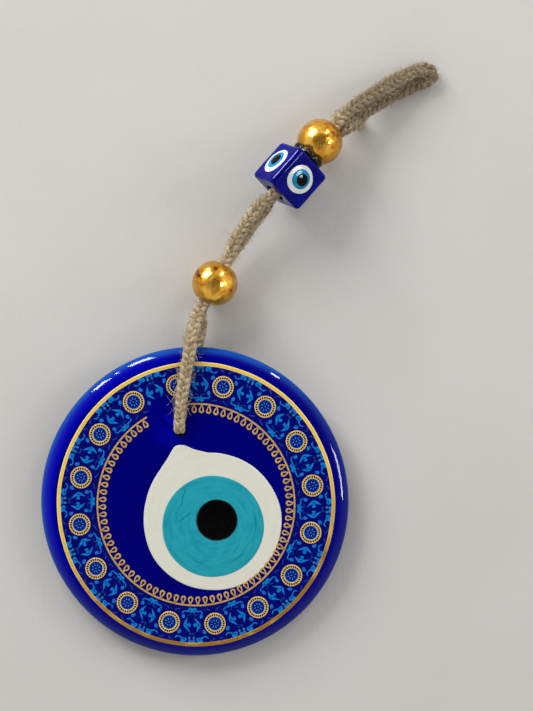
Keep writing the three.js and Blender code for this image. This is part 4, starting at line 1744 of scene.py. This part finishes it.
    def build(self) -> None:
        """Makes the printed pieces in place of their plain nodes."""
        navy = FiredInk("navy_ink", (0.0010, 0.0028, 0.135), (0.0007, 0.0016, 0.090), 260.0).material()
        inks = [
            FiredInk("blue_ink", (0.004, 0.19, 0.55), (0.003, 0.10, 0.42), 900.0).material(),
            FiredInk("pale_ink", (0.012, 0.15, 0.50), (0.006, 0.08, 0.38), 900.0).material(),
            FiredInk("dim_ink", (0.012, 0.045, 0.26), (0.006, 0.02, 0.19), 900.0).material(),
            FiredInk("teal_ink", (0.02, 0.20, 0.36), (0.01, 0.10, 0.27), 900.0).material(),
        ]
        scrolls = [self.scrollwork(tone, 0.035 + 0.006 * tone).finish(tone + 1) for tone in range(4)]
        printed = self.pulled(Sheet.joined([self.band(), *scrolls]))
        band = make_object("scrollwork_band", printed, [navy, *inks], False)
        settle(band, Body.DISC, "navy_ink", "printed_band")
        line = make_object("gold_outer_line", self.pulled(self.border_line()), [GoldLine().material()])
        settle(line, Body.DISC, "gold_ink", "gold_border_line")
        gold = FiredInk("lace_gold", (0.56, 0.36, 0.10), (0.36, 0.19, 0.045), 620.0, 0.1, 0.3).material()
        lace = make_object("gold_lace", self.pulled(self.lace_line()), [gold], False)
        settle(lace, Body.DISC, "gold_ink", "gold_lace_line")
        finishes = [
            FiredInk("medallion_gold", (0.72, 0.52, 0.19), (0.50, 0.29, 0.075), 700.0, 0.1, 0.3).material(),
            FiredInk("dot_ink", (0.014, 0.008, 0.008), (0.006, 0.005, 0.012), 900.0).material(),
            FiredInk("edge_ink", (0.01, 0.20, 0.42), (0.006, 0.10, 0.32), 900.0).material(),
            FiredInk("field_ink", (0.002, 0.018, 0.23), (0.001, 0.009, 0.16), 900.0).material(),
            FiredInk("heart_ink", (0.001, 0.005, 0.13), (0.001, 0.004, 0.10), 900.0).material(),
            FiredInk("petal_ink", (0.05, 0.20, 0.60), (0.02, 0.10, 0.42), 900.0).material(),
        ]
        for number in range(self.count):
            name = f"medallion_{number + 1:02d}"
            piece = make_object(f"printed_{name}", self.pulled(self.medallion(number)), finishes, False)
            settle(piece, Body.DISC, "medallion_ink", name)


# ---------------------------------------------------------------- the beads


@dataclass(frozen=True)
class Axis:
    """A place and a frame that a bead is built in.

    Attributes:
        centre: middle of the bead, in millimetres.
        along: direction of its bore.
        rise: direction that its first face looks to.
    """

    centre: tuple[float, float, float]
    along: tuple[float, float, float]
    rise: tuple[float, float, float]

    def world(self, points: np.ndarray) -> np.ndarray:
        """Turns points (side, rise, along) in millimetres into metres on the table."""
        along = unit(np.array(self.along))
        rise = np.array(self.rise)
        rise = unit(rise - along * (rise @ along))
        side = np.cross(rise, along)
        basis = np.stack([side, rise, along])
        return (np.array(self.centre) + points @ basis) / 1000.0


@dataclass
class GoldBead:
    """A gold bead with a wide bore, soft mouths and shallow dents.

    Attributes:
        name: name of the piece.
        node: the node that it replaces.
        body: the body that carries it.
        axis: its place.
        radius: outer radius in millimetres.
        bore: radius of the bore.
        seed: start of the dents' random places.
    """

    name: str
    node: str
    body: Body
    axis: Axis
    radius: float = 8.85
    bore: float = 3.7
    seed: int = 1

    def build(self) -> bpy.types.Object:
        """Makes the bead.

        Its profile is a circle arc from mouth to mouth with a small rounding, then the bore. A dent
        lowers points by depth * exp(-(distance / width)^2).

        Returns:
            The piece.
        """
        lip = self.bore + 0.55
        mouth = math.degrees(math.atan2(math.sqrt(self.radius**2 - lip**2), lip))
        outer = arc((0.0, 0.0), self.radius, mouth, -mouth, 56)
        height = outer[0, 1]
        bore = np.column_stack([np.full(7, self.bore), np.linspace(-height + 0.7, height - 0.7, 7)])
        lip = np.array([(self.bore + 0.32, 0.02), (self.bore + 0.12, -0.14), (self.bore + 0.02, -0.38)])
        low_lip = lip * np.array([1.0, -1.0]) + np.array([0.0, -height])
        high_lip = lip[::-1] + np.array([0.0, height])
        profile = np.concatenate([outer, low_lip, bore, high_lip])
        points = turned_points(profile, 96)
        chance = np.random.default_rng(self.seed)
        flat = points.reshape(-1, 3)
        outward = unit(flat)
        spots = unit(chance.normal(size=(26, 3))) * self.radius
        width = chance.uniform(1.2, 3.0, 26)
        depth = chance.uniform(-0.05, 0.11, 26)
        away = np.linalg.norm(flat[:, None] - spots[None], axis=2)
        dent = (depth * np.exp(-((away / width) ** 2))).sum(axis=1)
        skin = np.clip((np.linalg.norm(flat, axis=1) - self.radius + 0.4) / 0.4, 0.0, 1.0)
        flat = flat - outward * (np.maximum(dent, -0.02) * skin)[:, None]
        local = flat[:, [1, 0, 2]]
        faces = grid_faces(len(profile), 96, wrap_rows=True, wrap_columns=True)
        shell = Sheet(self.axis.world(local), [faces[:, ::-1]])
        piece = make_object(self.name, shell, [PlatedGold().material()])
        outward_facing(piece)
        settle(piece, self.body, "bead_gold", self.node)
        return piece


def outward_facing(obj: bpy.types.Object) -> None:
    """Turns a closed piece right side out when its signed volume is negative."""
    mesh = obj.data
    mesh.calc_loop_triangles()
    points = np.empty(len(mesh.vertices) * 3, np.float32)
    mesh.vertices.foreach_get("co", points)
    corners = np.empty(len(mesh.loop_triangles) * 3, np.int32)
    mesh.loop_triangles.foreach_get("vertices", corners)
    triangle = points.reshape(-1, 3).astype(float)[corners.reshape(-1, 3)]
    volume = np.einsum("ij,ij->i", triangle[:, 0], np.cross(triangle[:, 1], triangle[:, 2])).sum() / 6
    if volume < 0:
        mesh.flip_normals()


@dataclass
class BeadCap:
    """The black cap between the cube and the upper bead: a faceted ring with a bright turned edge."""

    axis: Axis
    cube_half: float = 8.7
    gap: float = 0.3
    inner: float = 3.87
    radius: float = 6.2
    bead_radius: float = 9.15
    face_to_bead: float = 9.1
    facets: int = 14

    def build(self) -> bpy.types.Object:
        """Makes the cap: its profile leaves the cube's face, bulges, and follows the round bead."""

        def seat(radius: float) -> float:
            """Height of the hollow over the cube's face."""
            return self.face_to_bead - math.sqrt(self.bead_radius**2 - radius**2)

        base = [(self.inner, self.gap), (self.radius - 0.35, self.gap), (self.radius, self.gap + 0.2)]
        brow = seat(self.radius) - 0.12
        rim = [(self.radius + 0.12, (self.gap + brow) / 2)]
        rim += [(self.radius, brow), (self.radius - 0.25, brow + 0.02)]
        hollow = [(r, seat(r) - 0.04) for r in (5.4, 4.8, 4.3, self.inner)]
        profile = np.array(base + rim + hollow)
        fine = turned_points(profile, self.facets * 6)
        angles = TURN * np.arange(self.facets * 6) / (self.facets * 6)
        facet = TURN / self.facets
        flute = np.cos(facet / 2) / np.cos((angles % facet) - facet / 2)
        outer = np.array([0.0, 0.6, 1.0, 1.0, 0.7, 0.2, 0.0, 0.0, 0.0, 0.0])[:, None]
        scale = 1.0 + outer * (flute[None] - 1.0) * 1.5
        fine[..., :2] *= scale[..., None]
        tooth = np.clip(np.cos(self.facets * angles + 0.8 * np.sin(3 * angles)), 0.0, 1.0) ** 0.7
        height = np.array([0.0, 0.0, 0.0, 0.35, 1.0, 1.0, 0.0, 0.0, 0.0, 0.0])[:, None] * tooth
        fine[..., :2] *= 1.0 + 0.08 * height[..., None]
        fine[..., 2] += 0.62 * height
        fine[..., 2] += self.cube_half
        faces = grid_faces(len(profile), self.facets * 6, wrap_rows=True, wrap_columns=True)
        local = fine.reshape(-1, 3)
        finish = PouredResin("black_cap_resin", (0.006, 0.006, 0.009), (0.0015, 0.0015, 0.002), 0.5, 0.16)
        resin = finish.material()
        piece = make_object("faceted_cap", Sheet(self.axis.world(local), [faces]), [resin])
        outward_facing(piece)
        settle(piece, Body.CAP, "black_resin", "black_bead_cap")
        return piece


@dataclass
class CubeBead:
    """A cobalt resin cube with soft edges, a wide bore and a small eye on each of four sides.

    Attributes:
        axis: its place; rise is the direction that the first eye looks to.
        side: edge length in millimetres.
        edge: rounding of the edges.
        bore: radius of the bore.
    """

    axis: Axis
    side: float = 17.4
    edge: float = 1.6
    bore: float = 3.87

    def outline(self) -> tuple[np.ndarray, np.ndarray]:
        """Walks round a square with tight corners.

        Returns:
            The base points of the inner square and the outward normals, each (n, 2).
        """
        tight = 0.45
        flat = self.side / 2 - self.edge - tight
        run = np.linspace(-flat, flat, 19)
        sweep = np.radians(np.linspace(0.0, 90.0, 11))[1:-1]
        edge = np.stack([np.full(19, flat + tight), run], axis=1)
        corner = np.stack([flat + tight * np.cos(sweep), flat + tight * np.sin(sweep)], axis=1)
        quarter = np.concatenate([edge, corner])
        corner = np.stack([np.cos(sweep), np.sin(sweep)], axis=1)
        normal = np.concatenate([np.tile([1.0, 0.0], (19, 1)), corner])
        quarters = np.radians([0, 90, 180, 270])
        turn = [np.array([[math.cos(a), math.sin(a)], [-math.sin(a), math.cos(a)]]) for a in quarters]
        return np.concatenate([quarter @ m for m in turn]), np.concatenate([normal @ m for m in turn])

    def body(self) -> Sheet:
        """Builds the cube as sections from the bore's mouth over the rounded edges and back.

        An edge point is base + offset * normal, with offset = edge * sin(a) and
        height = flat + edge * cos(a).
        """
        base, normal = self.outline()
        half, flat = self.side / 2, self.side / 2 - self.edge
        circle = unit(base)
        lip = 0.4
        end = [(self.bore, half - lip), (self.bore + 0.12, half - 0.12), (self.bore + lip, half)]
        rows = [np.column_stack([circle * r, np.full(len(base), h)]) for r, h in end]
        for share in (0.35, 0.7, 1.0):
            spot = circle * (self.bore + lip) * (1 - share) + base * share
            rows.append(np.column_stack([spot, np.full(len(base), half)]))
        for a in np.radians(np.linspace(12.0, 90.0, 8)):
            spot = base + normal * self.edge * math.sin(a)
            rows.append(np.column_stack([spot, np.full(len(base), flat + self.edge * math.cos(a))]))
        upper = np.stack(rows)
        wall, heights = base + normal * self.edge, np.linspace(flat, -flat, 13)[1:-1]
        middle = np.stack([np.column_stack([wall, np.full(len(base), h)]) for h in heights])
        lower = upper[::-1] * np.array([1.0, 1.0, -1.0])
        levels = (-4.0, 0.0, 4.0)
        bore = np.stack([np.column_stack([circle * self.bore, np.full(len(base), h)]) for h in levels])
        points = np.concatenate([upper, middle, lower, bore])
        faces = grid_faces(len(points), len(base), wrap_rows=True, wrap_columns=True)
        return Sheet(self.axis.world(self.pillowed(points.reshape(-1, 3))), [faces])

    def pillowed(self, points: np.ndarray) -> np.ndarray:
        """Lets the sides swell a little and waver, as poured pieces do."""
        x, y, z = points.T
        wave = 0.05 * np.sin(0.55 * x + 0.4) * np.cos(0.47 * y) + 0.04 * np.sin(0.62 * z + 0.3 * x)
        return points + unit(points + 1e-9) * wave[:, None]

    def eye_layer(
        self, face: int, radius: float, low: float, high: float, shift: tuple[float, float]
    ) -> Sheet:
        """Builds one domed layer of an eye on a side of the cube.

        Its height is low + (high - low) * sqrt(1 - s^2), softened at the edge.

        Args:
            face: which side, counted round the bore.
            radius: radius of the layer.
            low: height of its edge from the cube's middle.
            high: height of its top.
            shift: how far it sits off the middle.

        Returns:
            The closed layer.
        """
        shares = np.sin(np.radians(np.linspace(6.0, 90.0, 12)))
        heights = low + (high - low) * np.sqrt(np.clip(1.0 - shares**2, 0.0, 1.0))
        shares = np.concatenate([shares, [1.0, 0.5]])
        heights = np.concatenate([heights, [low - 0.6, low - 0.6]])
        turn = TURN * np.arange(64) / 64
        x = shift[0] + radius * shares[:, None] * np.cos(turn)
        z = shift[1] + radius * shares[:, None] * np.sin(turn)
        y = np.broadcast_to(heights[:, None], x.shape)
        grid = np.stack([x, y, z], axis=-1).reshape(-1, 3)
        poles = np.array([[shift[0], high, shift[1]], [shift[0], low - 0.6, shift[1]]])
        points = np.concatenate([grid, poles])
        angle = face * math.pi / 2
        c, s = math.cos(angle), math.sin(angle)
        spin = np.array([[c, s, 0], [-s, c, 0], [0, 0, 1]])
        count = len(shares)
        j = np.arange(64)
        j1 = (j + 1) % 64
        top = np.stack([np.full(64, count * 64), j1, j], axis=1)
        end = (count - 1) * 64
        bottom = np.stack([np.full(64, count * 64 + 1), end + j, end + j1], axis=1)
        quads = grid_faces(count, 64, wrap_columns=True)[:, ::-1]
        return Sheet(self.axis.world(points @ spin), [quads, top, bottom]).finish(0)

    def build(self) -> list[bpy.types.Object]:
        """Makes the cube and its twelve eye layers.

        Returns:
            The pieces.
        """
        finish = PouredResin("cobalt_resin", (0.0005, 0.002, 0.23), (0.0003, 0.0006, 0.105), 0.25, 0.07)
        cobalt = finish.material()
        cube = make_object("cobalt_cube", self.body(), [cobalt])
        outward_facing(cube)
        settle(cube, Body.CUBE, "cobalt_resin", "cube_bead")
        pieces = [cube]
        layers = (
            ("white", 5.65, (-0.15, 0.48), (0.0, 0.0), ((0.68, 0.68, 0.63), (0.56, 0.58, 0.55))),
            ("blue", 3.9, (0.24, 0.76), (0.0, 0.2), ((0.010, 0.26, 0.48), (0.005, 0.15, 0.34))),
            ("black", 2.5, (0.55, 0.94), (-0.35, 0.25), ((0.002, 0.002, 0.003), (0.001, 0.001, 0.0015))),
        )
        for name, radius, levels, shift, colors in layers:
            material = PouredResin(f"{name}_eye_resin", *colors, 0.12, 0.08).material()
            low, high = (self.side / 2 + level for level in levels)
            for face in range(4):
                sheet = self.eye_layer(face, radius, low, high, shift)
                piece = make_object(f"small_eye_{name}_{face + 1}", sheet, [material])
                outward_facing(piece)
                settle(piece, Body.CUBE, f"{name}_resin", f"cube_eye_{name}_{face + 1}")
                pieces.append(piece)
        return pieces


# ---------------------------------------------------------------- the whole ornament


def main() -> None:
    """Builds the ornament from the camera and the cord to the smallest bead."""
    logging.basicConfig(level=logging.INFO, format="%(message)s")
    Viewpoint().build()
    studio = Studio()
    studio.build()
    cord = PlaitedCord()
    front, back = cord.build()
    disc = GlassDisc().build()
    FusedEye().build()
    PrintedBorder().build()
    lower = GoldBead(
        "gold_bead_low", "lower_gold_bead", Body.LOWER_BEAD,
        Axis((7.9, 85.1, 8.9), (0.475, 0.88, 0.0), (0.0, 0.0, 1.0)), seed=3,
    ).build()
    cube_axis = (0.653563, 0.751838, -0.087156)
    rise = (0.057179, 0.065777, 0.996194)
    upper = GoldBead(
        "gold_bead_high",
        "upper_gold_bead",
        Body.CORD,
        Axis((48.6338, 139.5832, 11.0996), cube_axis, rise),
        seed=8,
    ).build()
    roll = math.radians(31.0)
    side = np.array([0.754710, -0.656059, 0.0])
    look = tuple((np.array(rise) * math.cos(roll) + side * math.sin(roll)).tolist())
    cube_centre = (37.0, 126.2, 12.651)
    cube = CubeBead(Axis(cube_centre, cube_axis, look)).build()
    cap = BeadCap(Axis(cube_centre, cube_axis, rise)).build()
    studio.show_glints_in([disc, lower, upper, cap, *cube])


if __name__ == "__main__":
    main()
